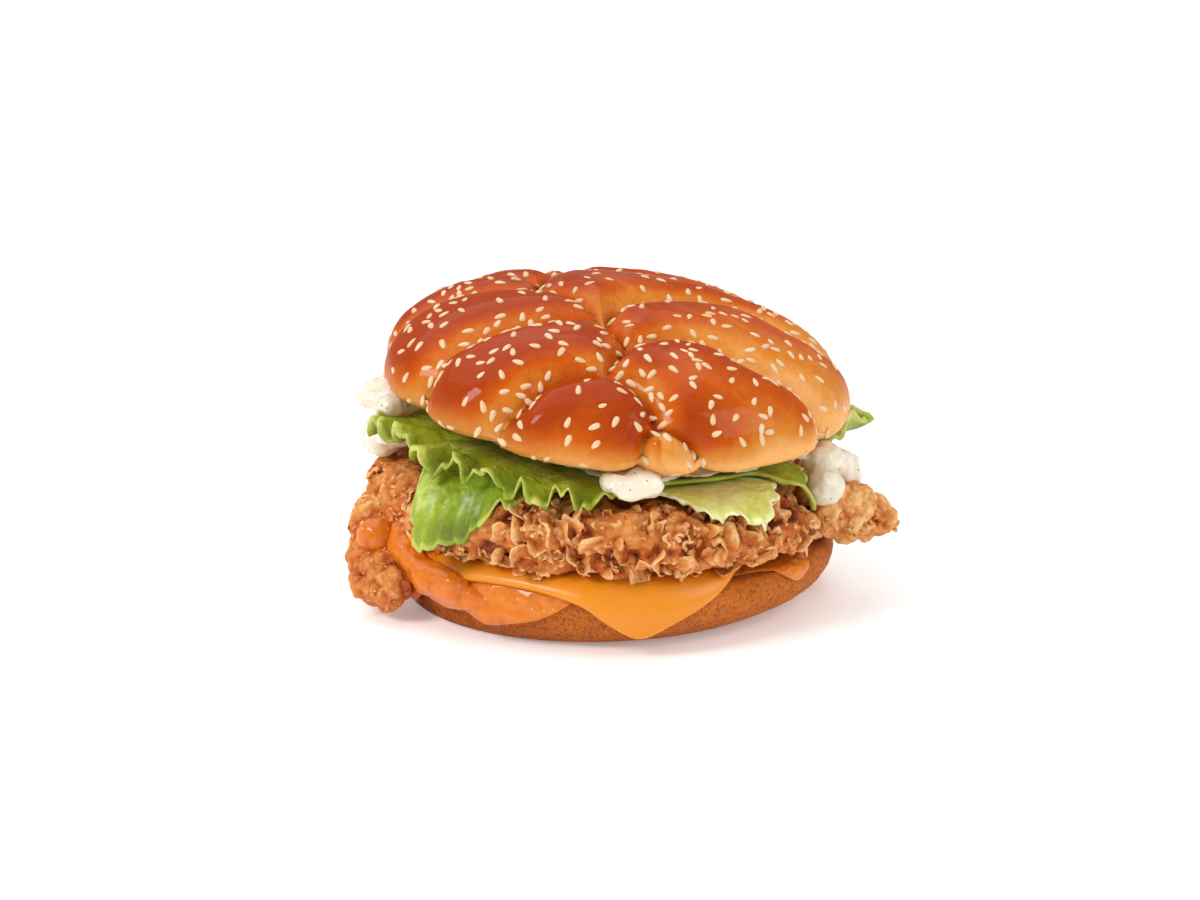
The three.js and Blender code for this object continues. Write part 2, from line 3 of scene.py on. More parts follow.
import bpy
import numpy as np
from bpy.props import FloatProperty, FloatVectorProperty, IntProperty, PointerProperty
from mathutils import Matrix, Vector


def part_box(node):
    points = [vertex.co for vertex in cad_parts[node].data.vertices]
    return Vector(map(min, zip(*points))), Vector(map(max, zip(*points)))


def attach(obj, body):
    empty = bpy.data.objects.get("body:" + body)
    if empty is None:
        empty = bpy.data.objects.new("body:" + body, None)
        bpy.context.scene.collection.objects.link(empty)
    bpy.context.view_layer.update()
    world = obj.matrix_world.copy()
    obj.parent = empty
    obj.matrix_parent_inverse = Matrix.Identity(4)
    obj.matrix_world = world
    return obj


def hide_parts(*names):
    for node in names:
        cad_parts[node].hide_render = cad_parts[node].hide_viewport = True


bl_info = {
    "name": "Chicken burger",
    "version": (1, 0, 0),
    "blender": (4, 5, 0),
    "location": "3D View > Sidebar > Burger",
    "description": "Dresses a chicken burger: plaited bun, seeds, fried fillet, leaves and sauces",
    "category": "Object",
}

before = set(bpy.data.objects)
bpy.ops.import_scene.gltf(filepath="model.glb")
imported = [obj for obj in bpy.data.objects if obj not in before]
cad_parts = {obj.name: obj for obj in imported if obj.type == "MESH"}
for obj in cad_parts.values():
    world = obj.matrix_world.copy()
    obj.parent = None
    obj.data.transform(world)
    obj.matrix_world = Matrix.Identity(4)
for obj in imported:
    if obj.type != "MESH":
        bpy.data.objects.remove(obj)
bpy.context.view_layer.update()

MM = 0.001
HEEL_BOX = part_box("bottom_bun")
AXIS = np.array([(HEEL_BOX[0].x + HEEL_BOX[1].x) / 2, (HEEL_BOX[0].y + HEEL_BOX[1].y) / 2, 0.0])

# Driving dimensions in millimetres, from the stack's axis, and in degrees

GAP = 0.35

# The upper stack leans to the right by TILT and forwards by NOD.
TILT = math.radians(6)
NOD = math.radians(4)

# Steps round the stack of each piece's mesh
STEPS_ROUND = {
    "crown": 420, "heel": 300, "sauce": 330, "cheese": 300, "leaf": 600, "fillet": 240, "mayonnaise": 120
}

# Layers of noise are (depth, size) everywhere.
HEEL = {
    "radius": 54, "top": 14.5, "bulge_height": 11, "rim_inset": 2.5, "base_radius": 42.5,
    "base_shift": 11, "base_ring": 20, "cut_radii": (30, 48), "crumb_radius": 49, "sunk": 0.35,
}
HEEL_BUMPS = [(0.45, 13), (0.2, 4), (0.1, 1.8)]

SAUCE = {"height": 1.2, "bead": 2.6, "reach": 48.5, "drips": 13, "drip": 1.6, "blob": 1.4}
SAUCE_SPILLS = [
    {"angle": -158, "width": 16, "extra": 14},
    {"angle": -121, "width": 18, "extra": 14},
    {"angle": -37, "width": 8, "extra": 7},
]
SAUCE_DROP = {"at": (-59.5, -20.5, 18.6), "size": (4.8, 3.6, 4.8)}

# Smears of sauce from the fillet's left side down to the spill: lines of (x, y, z, half size)
SAUCE_SMEARS = [
    [(-55.5, -13, 23, 3.4), (-53.5, -19, 18.6, 4.4), (-50.5, -26, 14.6, 4.8), (-46, -34, 13, 4.2),
     (-40, -41, 12.4, 3.6)],
    [(-49, -24, 12, 3), (-45.5, -30.5, 10.4, 3.3), (-40.6, -36.6, 9.6, 3.3), (-35, -41.5, 9.4, 3),
     (-27, -45.5, 9, 2)],
]
SMEAR = {"voxel": 0.45, "smoothing": 24, "bumps": [(0.9, 6), (0.3, 2.4)], "deep": 0.3}

CHEESE = {"thickness": 2.4, "bend_start": 48.6, "bend": 6.9, "hang": 84, "roundness": 26, "slump": 0.5}
CHEESE_EDGES = [(-53, 55.6), (-119, 55.2), (-170, 52), (-20, 40), (60, 43), (142, 46)]
CHEESE_REST = HEEL["top"] + 2 * GAP + SAUCE["height"] + 0.1

# The rim's rounding above and below its middle goes by the powers over and under.
FILLET = {
    "bottom": 19.2, "top": 38.4, "fall_right": 7.5, "fall_left": 12, "edge": 10, "over": 0.6,
    "under": 0.32, "flank": 0.75, "clear": 1.5,
}
FILLET_RISES = [89.9, 75, 60, 48, 38, 27, 17, 7, -3, -13, -23, -34, -46, -60, -75, -89.9]
FILLET_RADII = [49, 51, 53, 56, 61.5, 56, 55, 53.5]
FILLET_CRAGS = [(2.1, 8), (1.2, 4.2)]
FILLET_ARM = [(44, -13, 26, 8), (53, -13, 24, 6.8), (60, -12, 21.4, 5.6), (67.6, -12, 19.4, 4.2)]
FILLET_TAIL = [
    (-52, 0, 28, 7.5), (-59.6, -10, 20, 6), (-60.4, -18, 13, 5.6), (-57.8, -26, 8.6, 5.8),
    (-52.4, -33, 9.8, 4.4),
]

# Painted shadow of the dark hollow under the right-hand mayonnaise, kept free of flakes, as (x, y, z,
# radius)
HOLLOW_SHADE_SPOT = (44, -36, 33, 6)

# The crust's skin: layers of folds as (depth, size, shift), then knobs and grains
CRUST_FOLDS = [(1.9, 9, 0), (0.8, 3.8, 17)]
CRUST = {"warp": 2.4, "knob": 3.7, "knob_height": 2.3, "grain": 2.2, "grain_height": 0.5, "sunk": 0.35}
# How well fried the crust is, with painted shade in its recesses (depth) and in the hollow under the
# right-hand mayonnaise (hollow_shade): what it adds up from, and what the arm takes away
FRIED = {
    "least": 0.22, "folds": 0.1, "depth": 0.8, "patches": 0.14, "hollow_shade": 0.9, "tail": 0.16, "arm": 0.1
}

# Loose-edged flakes and finer crumbs of the crust: the least and the added length and width, the
# rows and columns of each one's mesh, and whether they stand on the tail too
CRUST_KINDS = {
    "crust_flakes": {
        "length": (1.7, 3.2), "width": (2.4, 6.8), "thickness": 0.9, "rows": 7, "columns": 16,
        "draw": 41, "tail": False,
    },
    "crust_crumbs": {
        "length": (0.9, 1), "width": (1.3, 2), "thickness": 0.7, "rows": 4, "columns": 8,
        "draw": 67, "tail": True,
    },
}
# The height from which flakes grow large, how steep they stand and how far they curl
FLAKE = {"low": 17, "stand": (15, 80), "curl": (-90, 90), "sunk": 0.7, "wrinkle": (0.55, 1.7)}

LEAF = {
    "thickness": 0.8, "flat": 46, "hidden": 43, "ruffles_from": 14, "crinkles_from": 10,
    "crinkle": 1.15, "notch": 1.1, "nick": 0.6,
}
# Each leaf's lobes are (azimuth, half width, reach, curl), and its waves (count, phase, size).
LEAVES = {
    "lettuce_flap_leaf": {
        "height": 39.5,
        "lobes": [(-135, 18, 0, 92), (-129, 19, 21, 0), (-138, 9, 14, 0), (50, 35, 15, 40)],
        "waves": (15, 0.6, 1.3),
    },
    "lettuce_pale_leaf": {
        "height": 40.7,
        "lobes": [(-58, 17, 16, 34), (125, 25, 14, 30)],
        "waves": (24, 2.1, 1.2),
    },
    "lettuce_ruffle_leaf": {
        "height": 42.4,
        "lobes": [
            (-143, 24, 18, 6), (-166, 10, 12, 3), (-105, 19, 15, 16), (-34, 6, 15, 55),
            (5, 9, 21, -38), (100, 40, 15, 25),
        ],
        "waves": (38, 1.2, 2.5),
    },
}

MAYO = {
    "bottom": 43.6, "top": 44.9, "radius": 44.5, "voxel": 0.76, "smoothing": 4, "swirl": 0.55,
    "dent": 0.7, "raised": 0.3,
}
# Shares of the layer's radius and of its half thickness, from its top round its rim to its bottom
MAYO_RIM = [
    (0.5, 1), (0.8, 1), (0.9, 1), (0.96, 0.8), (1, 0), (0.96, -0.8), (0.9, -1), (0.8, -1), (0.5, -1)
]
MAYO_LOBES = [(-88, 9, 9), (-15, 11, 8), (176, 20, 9), (75, 12, 6)]
MAYO_BLOBS = [
    ((-1.4, -54.6, 42.6), (3.6, 5, 2.4)),
    ((2.6, -55.2, 41.2), (4.2, 5, 2.7)),
    ((6.4, -54.4, 42), (3.4, 5, 2.9)),
    ((4, -52, 43), (5, 6, 2.6)),
    ((49.5, -16, 36.6), (4.8, 4.8, 4.4)),
    ((49.6, -21, 31.4), (4.8, 4.4, 4.6)),
    ((56, -9, 31.6), (3.9, 4.4, 4.6)),
    ((53, -11.5, 34.8), (4.6, 4.4, 3.6)),
    ((-54.5, -7, 49.6), (7, 9, 3.8)),
    ((-60.5, -8, 50), (5, 3.4, 2)),
    ((-59, -1, 51.2), (4.6, 3.4, 2.4)),
    ((-56, -14, 50), (3.6, 4, 2.6)),
]
MAYO_LEFT_BLOBS = [((-56, -2, 41), (7.2, 10, 4.2)), ((-59.5, 1, 37.4), (5, 8, 4.4))]

CROWN = {
    "radius": 58, "rise": 22.7, "under": 9, "middle": 6, "cut": -1, "height": 46.4, "left": 1.6,
    "swell": 0.5, "swells": 19, "groove": 0.9,
}
CROWN_BUMPS = [(0.22, 6.5), (0.07, 2.6)]
CROWN_POWER = {"round": 2.4, "flat": 2.2}
# What the crown's bake adds up from, with darker colour towards the left and paler towards the right,
# and the share that a crease takes away
BAKE = {
    "least": 0.1, "upward": 0.42, "crest": 0.6, "crest_width": 17, "left": 0.38, "right": 0.34,
    "low": 0.24, "crease": 0.42,
}
CREASE_POWER = 2.2

# Each crease: depth, the width of the lobe that rides over, the width beneath, and its line of
# azimuths and latitudes. The lobe on a line's right rides over the one on its left.
CREASES = [
    (5, 7, 13, [(-176, -20), (-179, 15), (-183, 32), (-188, 46), (-198, 72)]),
    (5, 8, 14, [(-146, -25), (-146, 8), (-147, 55), (-125, 78), (-104, 78)]),
    (6, 8, 14, [(-122, -45), (-118, 12), (-115, 31), (-111, 41), (-96, 50)]),
    (5.5, 8, 12, [(-96, 50), (-87, 45), (-82, 34), (-81, 22)]),
    (4, 8, 8, [(-81, 22), (-84, 12), (-84, -5), (-85, -30)]),
    (4, 9, 6, [(-66, -42), (-69, -10), (-73, 11), (-77, 19), (-81, 22)]),
    (5, 8, 8, [(-96, 50), (-95, 57), (-88, 68)]),
    (5, 8, 9, [(-104, 78), (-97, 75), (-88, 68)]),
    (5.5, 8, 14, [(-88, 68), (-72, 71), (-55, 70), (-42, 62), (-39, 49), (-32, 33), (-29, 4), (-28, -40)]),
    (5, 8, 13, [(-104, 78), (-120, 85), (30, 88), (28, 72), (20, 60), (6, 46), (4, 20), (2, -25)]),
    (5, 9, 9, [(-198, 72), (-196, 79), (-150, 83), (-104, 78)]),
    (4.5, 9, 9, [(162, 72), (150, 68), (134, 62), (117, 56), (105, 43), (97, 22), (94, -25)]),
    (4.5, 9, 11, [(154, -25), (153, 12), (147, 38), (134, 62)]),
    (4.5, 9, 11, [(126, -25), (126, 12), (120, 38), (117, 56)]),
    (4.5, 9, 11, [(117, 56), (80, 62), (55, 58), (38, 42), (32, 12), (30, -25)]),
    (4.5, 9, 11, [(105, 43), (84, 42), (70, 34), (62, 12), (60, -25)]),
]

SEED = {
    "length": 3.3, "width": 1.764, "thickness": 1.105, "sunk": 0.15, "spacing": 3.4,
    "small_spacing": 2.2, "large": 70, "draw": 20240611, "low_share": 0.07, "top_share": 0.6,
    "crease_share": 0.4,
}

# The stage, in metres and watts, with the camera's target and lens in millimetres
SOFTBOXES = {
    "left_softbox": {"at": (-0.55, -0.35, 0.55), "size": (0.28, 0.26), "power": 3.4},
    "right_softbox": {"at": (0.6, -0.3, 0.5), "size": (0.5, 0.5), "power": 2.4},
}
DAYLIGHT = {"at": (-0.25, 0.4, 1.0), "spread": 70, "power": 1.2}
WORLD_STRENGTH = 0.5
FLOOR = {"size": 12, "glow": 0.22}
CAMERA = {"lens": 84, "sensor": 36, "target": (-5, 0, 34.6), "rise": 16, "distance": 0.7}
LIT_HEIGHT = 0.045


def colour(red, green, blue):
    """A colour as it is seen, 0 to 255 a channel, in the linear values that shaders use."""
    shares = [channel / 255 for channel in (red, green, blue)]
    return tuple(s / 12.92 if s <= 0.04045 else ((s + 0.055) / 1.055) ** 2.4 for s in shares)


# Numbers, outlines and noise, for whole arrays of points at once


def smoothstep(value, low, high):
    """Smoothly from 0 at low to 1 at high."""
    share = np.clip((np.asarray(value, float) - low) / (high - low), 0, 1)
    return share * share * (3 - 2 * share)


def lean(points):
    """Height by which a level of the leaning stack differs from its height on the axis."""
    return points[..., 1] * math.tan(NOD) - points[..., 0] * math.tan(TILT)


def bell(angle, centre, width):
    """1 at a centre and falling away on both sides of it, for angles in degrees."""
    turn = (np.asarray(angle, float) - centre + 540) % 360 - 180
    return np.exp(-((turn / width) ** 2))


def full_turn(count):
    """Even angles round the stack, in degrees."""
    return np.linspace(0, 360, count, endpoint=False)


def from_axis(points):
    """Each point's distance from the stack's axis."""
    return np.hypot(points[:, 0], points[:, 1])


def unit(vectors):
    """Each row of vectors with length 1."""
    return vectors / np.linalg.norm(vectors, axis=1, keepdims=True)


def polar(angle, radius, z):
    """Points at angles in degrees round the axis, at a radius and a height."""
    turn = np.radians(angle)
    angle, radius, z = np.broadcast_arrays(angle, radius, z)
    return np.stack([radius * np.cos(turn), radius * np.sin(turn), z], axis=-1)


def lattice_value(x, y, z):
    """A scattered number from -1 to 1 for each whole place."""
    wave = np.sin(x * 127.1 + y * 311.7 + z * 74.7) * 43758.5453
    return 2 * (wave - np.floor(wave)) - 1


def lumps(points, size):
    """Smooth noise from -1 to 1 with lumps of the given size."""
    place = points / size
    cell = np.floor(place)
    blend = place - cell
    u, v, w = np.moveaxis(blend * blend * (3 - 2 * blend), -1, 0)
    i, j, k = np.moveaxis(cell, -1, 0)

    def along(dj, dk):
        here = lattice_value(i, j + dj, k + dk)
        return here + (lattice_value(i + 1, j + dj, k + dk) - here) * u

    low = along(0, 0) + (along(1, 0) - along(0, 0)) * v
    high = along(0, 1) + (along(1, 1) - along(0, 1)) * v
    return low + (high - low) * w


def bumps(points, layers):
    """The sum of layers of noise, each as (depth, size)."""
    return sum(depth * lumps(points, size) for depth, size in layers)


def flakes(points, size):
    """Distance to the nearest and second nearest of scattered points, and the nearest one's draw."""
    place = points / size
    cell = np.floor(place)
    nearest = np.full(len(points), 9.0)
    second = np.full(len(points), 9.0)
    draw = np.zeros(len(points))
    for di in (-1, 0, 1):
        for dj in (-1, 0, 1):
            for dk in (-1, 0, 1):
                i, j, k = (cell + (di, dj, dk)).T
                seat = np.stack([i, j, k], axis=1) + 0.5 + 0.45 * np.stack([
                    lattice_value(i, j, k),
                    lattice_value(i + 31, j, k),
                    lattice_value(i, j + 17, k),
                ], axis=1)
                apart = np.linalg.norm(place - seat, axis=1)
                closer = apart < nearest
                second = np.where(closer, nearest, np.minimum(second, apart))
                draw = np.where(closer, lattice_value(i, j, k + 53), draw)
                nearest = np.where(closer, apart, nearest)
    return nearest, second, draw


def smooth_line(points, steps):
    """A curve through points, with that many steps between each two."""
    points = np.asarray(points, float)
    ends = np.vstack([2 * points[0] - points[1], points, 2 * points[-1] - points[-2]])
    line = []
    for place in range(len(points) - 1):
        before, start, end, after = ends[place:place + 4]
        leave, arrive = (end - before) / 2, (after - start) / 2
        for step in range(steps):
            t = step / steps
            line.append(
                start + leave * t
                + (3 * (end - start) - 2 * leave - arrive) * t ** 2
                + (2 * (start - end) + leave + arrive) * t ** 3
            )
    line.append(points[-1])
    return np.array(line)


class Draws:
    """Even draws from 0 to 1, the same each time."""

    def __init__(self, start):
        self.state = start

    def __call__(self):
        self.state = (self.state * 1664525 + 1013904223) % 4294967296
        return self.state / 4294967296


# Meshes


def band_faces(rows, columns, start):
    """Faces between rings that follow each other, with the first ring's points counted from start."""
    row, column = np.meshgrid(np.arange(rows - 1), np.arange(columns), indexing="ij")
    following = (column + 1) % columns
    near = start + row * columns
    far = near + columns
    corners = [near + column, far + column, far + following, near + following]
    return np.stack(corners, axis=-1).reshape(-1, 4).tolist()


def ring_faces(rows, columns):
    """Faces of a closed body: a first point, rows of rings down its outside, and a last point."""
    pairs = [(here, (here + 1) % columns) for here in range(columns)]
    base = 1 + (rows - 1) * columns
    last = base + columns
    faces = band_faces(rows, columns, 1)
    faces += [(0, 1 + here, 1 + following) for here, following in pairs]
    faces += [(last, base + following, base + here) for here, following in pairs]
    return faces


def ribbon_faces(rows, columns):
    """Faces of a flat closed ribbon of rings, each end closed straight across its thickness."""
    half = columns // 2
    end = [(i, i + 1, columns - i - 1, columns - i) for i in range(1, half - 1)]
    end += [(0, 1, columns - 1), (half - 1, half, half + 1)]
    last = (rows - 1) * columns
    return band_faces(rows, columns, 0) + end + [tuple(last + i for i in face[::-1]) for face in end]


def ring_points(first, rings, last):
    """The points of a closed body, in the order that ring_faces counts them."""
    return np.vstack([[first], rings.reshape(-1, 3), [last]])


def add_object(name, data):
    """An object with its data, in the scene."""
    made = bpy.data.objects.new(name, data)
    bpy.context.scene.collection.objects.link(made)
    return made


def add_piece(name, points, faces, material, values=None):
    """A smooth mesh piece from points in millimetres round the stack's axis, with named point values."""
    mesh = bpy.data.meshes.new(name)
    mesh.from_pydata((np.asarray(points) * MM + AXIS).tolist(), [], faces)
    mesh.polygons.foreach_set("use_smooth", [True] * len(mesh.polygons))
    for key, numbers in (values or {}).items():
        attribute = mesh.attributes.new(key, "FLOAT", "POINT")
        attribute.data.foreach_set("value", np.asarray(numbers, np.float32))
    mesh.materials.append(material)
    mesh.update()
    piece = add_object(name, mesh)
    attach(piece, "root")
    return piece


def rows_of(collection, key):
    """A named vector of each item of a mesh's collection."""
    numbers = np.empty(len(collection) * 3)
    collection.foreach_get(key, numbers)
    return numbers.reshape(-1, 3)


def fused(bodies, voxel, smoothing=0):
    """One even skin over bodies that overlap: its points in millimetres and its faces."""
    points, faces = [], []
    for body_points, body_faces in bodies:
        start = sum(len(p) for p in points)
        points.append(np.asarray(body_points, float))
        faces += [tuple(start + i for i in face) for face in body_faces]
    mesh = bpy.data.meshes.new("fused")
    mesh.from_pydata(np.vstack(points).tolist(), [], faces)
    body = add_object("fused", mesh)
    remesh = body.modifiers.new("skin", "REMESH")
    remesh.mode = "VOXEL"
    remesh.voxel_size = voxel
    if smoothing:
        smooth = body.modifiers.new("smooth", "SMOOTH")
        smooth.iterations = smoothing
        smooth.factor = 0.5
    even = bpy.data.meshes.new_from_object(body.evaluated_get(bpy.context.evaluated_depsgraph_get()))
    faces = [tuple(face.vertices) for face in even.polygons]
    skin = rows_of(even.vertices, "co"), rows_of(even.vertex_normals, "vector"), faces
    bpy.data.objects.remove(body)
    bpy.data.meshes.remove(mesh)
    bpy.data.meshes.remove(even)
    return skin


def ball(at, size, columns=24, rows=14):
    """A rounded lump with half sizes along x, y and z."""
    rise = np.linspace(90, -90, rows + 2)[1:-1]
    angles = full_turn(columns)
    rings = np.stack([polar(angles, math.cos(math.radians(r)), math.sin(math.radians(r))) for r in rise])
    points = ring_points((0, 0, 1), rings, (0, 0, -1)) * size + at
    return points, ring_faces(rows, columns)


# Shaders


class Value:
    """A shader socket that takes part in Python expressions."""

    def __init__(self, shader, socket):
        self.shader = shader
        self.socket = socket

    def maths(self, operation, *operands):
        return self.shader.node("ShaderNodeMath", {"operation": operation}, dict(enumerate(operands)))

    def __add__(self, other):
        return self.maths("ADD", self, other)

    def __sub__(self, other):
        return self.maths("SUBTRACT", self, other)

    def __rsub__(self, other):
        return self.maths("SUBTRACT", other, self)

    def __mul__(self, other):
        return self.maths("MULTIPLY", self, other)

    def __pow__(self, other):
        return self.maths("POWER", self, other)

    __radd__ = __add__
    __rmul__ = __mul__

    def step(self, low, high):
        """Smoothly from 0 at low to 1 at high."""
        return self.shader.node(
            "ShaderNodeMapRange",
            {"interpolation_type": "SMOOTHSTEP"},
            {"Value": self, "From Min": low, "From Max": high},
        )


class Finish:
    """A material that is built from nodes in words of its own sockets."""

    def __init__(self, name):
        self.material = bpy.data.materials.new(name)
        self.material.use_nodes = True
        self.tree = self.material.node_tree
        self.shader = next(n for n in self.tree.nodes if n.type == "BSDF_PRINCIPLED")
        self.place = self.node("ShaderNodeTexCoord", output="Object")

    def node(self, kind, settings=None, inputs=None, output=0):
        """A node of a type, with its settings made first, then the values or links of its sockets."""
        made = self.tree.nodes.new(kind)
        for key, setting in (settings or {}).items():
            if key == "stops":
                self.set_stops(made.color_ramp, setting)
            else:
                setattr(made, key, setting)
        for key, value in (inputs or {}).items():
            self.feed(made.inputs[key], value)
        return Value(self, made.outputs[output])

    @staticmethod
    def set_stops(ramp, stops):
        while len(ramp.elements) < len(stops):
            ramp.elements.new(0.5)
        for element, (place, shade) in zip(ramp.elements, stops):
            element.position = place
            element.color = (*shade, 1)

    def feed(self, socket, value):
        if isinstance(value, Value):
            self.tree.links.new(value.socket, socket)
        elif isinstance(value, (tuple, list)) and len(value) == 3 and socket.type == "RGBA":
            socket.default_value = (*value, 1)
        else:
            socket.default_value = value

    def value(self, key):
        """A named value of the mesh's points."""
        return self.node("ShaderNodeAttribute", {"attribute_name": key}, output="Fac")

    def noise(self, size, detail=3, roughness=0.55, stretch=None):
        """Noise from 0 to 1 with lumps of a size in millimetres."""
        place = self.place
        if stretch:
            place = self.node("ShaderNodeVectorMath", {"operation": "MULTIPLY"}, {0: place, 1: stretch})
        inputs = {"Vector": place, "Scale": 1 / (size * MM), "Detail": detail, "Roughness": roughness}
        return self.node("ShaderNodeTexNoise", None, inputs, "Fac")

    def wave(self, phase):
        """A sine from 0 to 1."""
        return self.node("ShaderNodeMath", {"operation": "SINE"}, {0: phase}) * 0.5 + 0.5

    def cells(self, size):
        """Distance to the nearest cell point, in cells of a size in millimetres."""
        inputs = {"Vector": self.place, "Scale": 1 / (size * MM)}
        return self.node("ShaderNodeTexVoronoi", None, inputs, "Distance")

    def ramp(self, share, stops):
        return self.node("ShaderNodeValToRGB", {"stops": stops}, {"Fac": share}, "Color")

    def mix(self, share, first, second):
        """From the first colour to the second."""
        made = {"data_type": "RGBA", "clamp_factor": True}
        return self.node("ShaderNodeMix", made, {0: share, 6: first, 7: second}, 2)

    def bump(self, *heights):
        """A normal from layers of (height, depth in millimetres), the coarsest first."""
        normal = None
        for height, depth in heights:
            inputs = {"Strength": 1.0, "Distance": depth * MM, "Height": height}
            if normal is not None:
                inputs["Normal"] = normal
            normal = self.node("ShaderNodeBump", None, inputs, "Normal")
        return normal

    def surface(self, **sockets):
        for key, value in sockets.items():
            self.feed(self.shader.inputs[key.replace("_", " ").title().replace("Ior", "IOR")], value)
        return self.material


# Sizes and colours that a user would change


def size_property(name, description, default, low, high):
    return FloatProperty(name=name, description=description, default=default, min=low, max=high)


def count_property(name, description, default, low, high):
    return IntProperty(name=name, description=description, default=default, min=low, max=high)


def shade_property(name, description, default):
    return FloatVectorProperty(
        name=name, description=description, default=default, size=3, min=0, max=1, subtype="COLOR"
    )


class BurgerSizes(bpy.types.PropertyGroup):
    seeds: count_property("Sesame seeds", "How many seeds are baked on the crown", 560, 70, 700)
    seed_scale: size_property("Seed scale", "Size of each seed against its own", 0.95, 0.8, 1.2)
    crust_relief: size_property("Crust relief", "How far the fillet's folds and knobs stand out", 1, 0, 1.6)
    crust_flakes: count_property("Flakes", "How many loose-edged flakes stand on the fillet", 860, 0, 880)
    crust_crumbs: count_property("Crumbs", "How many small crumbs stand on the fillet", 1500, 0, 2000)
    leaf_ruffle: size_property("Leaf ruffle", "How far the leaves' edges swing", 1, 0, 2)
    voxel: size_property("Skin detail", "Size of the fillet's faces, in millimetres", 0.72, 0.6, 2)


class BurgerColours(bpy.types.PropertyGroup):
    glaze_dark: shade_property("Dark glaze", "Ridges of the crown", colour(160, 56, 10))
    glaze_red: shade_property("Red glaze", "Upper sides of the crown's lobes", colour(190, 82, 10))
    glaze_amber: shade_property("Amber glaze", "Sides of the crown's lobes", colour(208, 128, 44))
    # Painted shade laid on the lower left side of the crown
    glaze_low_shade: shade_property("Low crust", "Lower left side of the crown", colour(184, 122, 52))
    glaze_pale: shade_property("Pale crust", "Creases and underside of the crown", colour(232, 168, 96))
    seed_cream: shade_property("Seed", "Middle of a sesame seed", colour(238, 212, 172))
    seed_rim: shade_property("Seed rim", "Rim of a sesame seed", colour(222, 172, 118))
    heel_brown: shade_property("Heel crust", "Baked side of the heel", colour(240, 134, 46))
    heel_dark: shade_property("Dark heel crust", "Darkest patches of the heel", colour(166, 72, 20))
    heel_speck: shade_property("Heel specks", "Burnt specks of the heel", colour(112, 42, 10))
    crumb: shade_property("Crumb", "Cut face of the heel", colour(222, 176, 116))
    cheese: shade_property("Cheese", "Cheese slice", colour(238, 144, 30))
    cheese_streak: shade_property("Cheese streaks", "Deeper streaks of the slice", colour(228, 128, 18))
    sauce: shade_property("Sauce", "Burger sauce", colour(226, 126, 24))
    sauce_deep: shade_property("Deep sauce", "Thick and dark places of the sauce", colour(210, 96, 10))
    sauce_speck: shade_property("Sauce specks", "Dark specks of the sauce", colour(150, 62, 24))
    sauce_pale: shade_property("Pale sauce specks", "Light specks of the sauce", colour(244, 196, 130))
    mayonnaise: shade_property("Mayonnaise", "Mayonnaise", colour(236, 222, 203))
    mayo_warm: shade_property("Warm mayonnaise", "Thick places of the mayonnaise", colour(232, 212, 180))
    pepper: shade_property("Pepper", "Specks in the mayonnaise", colour(92, 72, 52))
    leaf_pale: shade_property("Pale leaf", "Ribs and pale leaf flesh", colour(194, 202, 88))
    leaf_mid: shade_property("Leaf green", "Green leaf flesh", colour(150, 170, 38))
    # Painted shade darkens the leaf's folds towards this colour
    leaf_dark: shade_property("Dark leaf", "Dark folds and rims of a leaf", colour(94, 116, 26))
    heart_pale: shade_property("Pale heart rib", "Ribs of the pale leaf", colour(248, 248, 182))
    heart_mid: shade_property("Pale heart leaf", "Flesh of the pale leaf", colour(220, 226, 116))
    # Painted shade darkens the pale leaf's folds towards this colour
    heart_dark: shade_property("Pale heart rim", "Folds and rims of the pale leaf", colour(184, 196, 76))
    crust_pale: shade_property("Pale crust flakes", "Floury flakes of the fillet", colour(246, 194, 130))
    crust_gold: shade_property("Golden crust", "Most of the fillet's crust", colour(222, 144, 72))
    crust_brown: shade_property("Brown crust", "Well fried crust", colour(196, 96, 36))
    # Painted shade in the crust's recesses and hollows, and its darkest fried colour
    crust_dark_shade: shade_property("Crust hollows", "Deep hollows of the crust", colour(110, 46, 16))


def shade(name):
    """The user's colour of a name, as shaders take it."""
    return tuple(getattr(bpy.context.scene.burger_colours, name))


def sizes():
    return bpy.context.scene.burger_sizes


# The crown: a low dome whose plaited lobes meet in creases


def dome(azimuth, latitude):
    """Points of the crown without its creases."""
    lat = np.radians(latitude)
    radius = CROWN["radius"] * np.cos(lat) ** (2 / CROWN_POWER["round"])
    height = np.abs(np.sin(lat)) ** (2 / CROWN_POWER["flat"])
    span = np.where(lat < 0, -CROWN["under"], CROWN["rise"])
    return polar(azimuth, radius, CROWN["middle"] + span * height)


def dome_normal(points):
    """The dome's outward directions at its points."""
    reach = np.maximum(from_axis(points), 1e-9)
    radial = (reach / CROWN["radius"]) ** (CROWN_POWER["round"] - 1) / CROWN["radius"]
    above = points[:, 2] - CROWN["middle"]
    span = np.where(above < 0, CROWN["under"], CROWN["rise"])
    lift = np.sign(above) * (np.abs(above) / span) ** (CROWN_POWER["flat"] - 1) / span
    normal = np.stack([points[:, 0] * radial / reach, points[:, 1] * radial / reach, lift], axis=1)
    return unit(normal)


def crease_lines():
    """The creases with their lines as curves on the dome."""
    lines = []
    for depth, over, beneath, line in CREASES:
        places = np.array([dome(azimuth, latitude) for azimuth, latitude in line])
        lines.append((depth, over, beneath, smooth_line(places, 7)))
    return lines


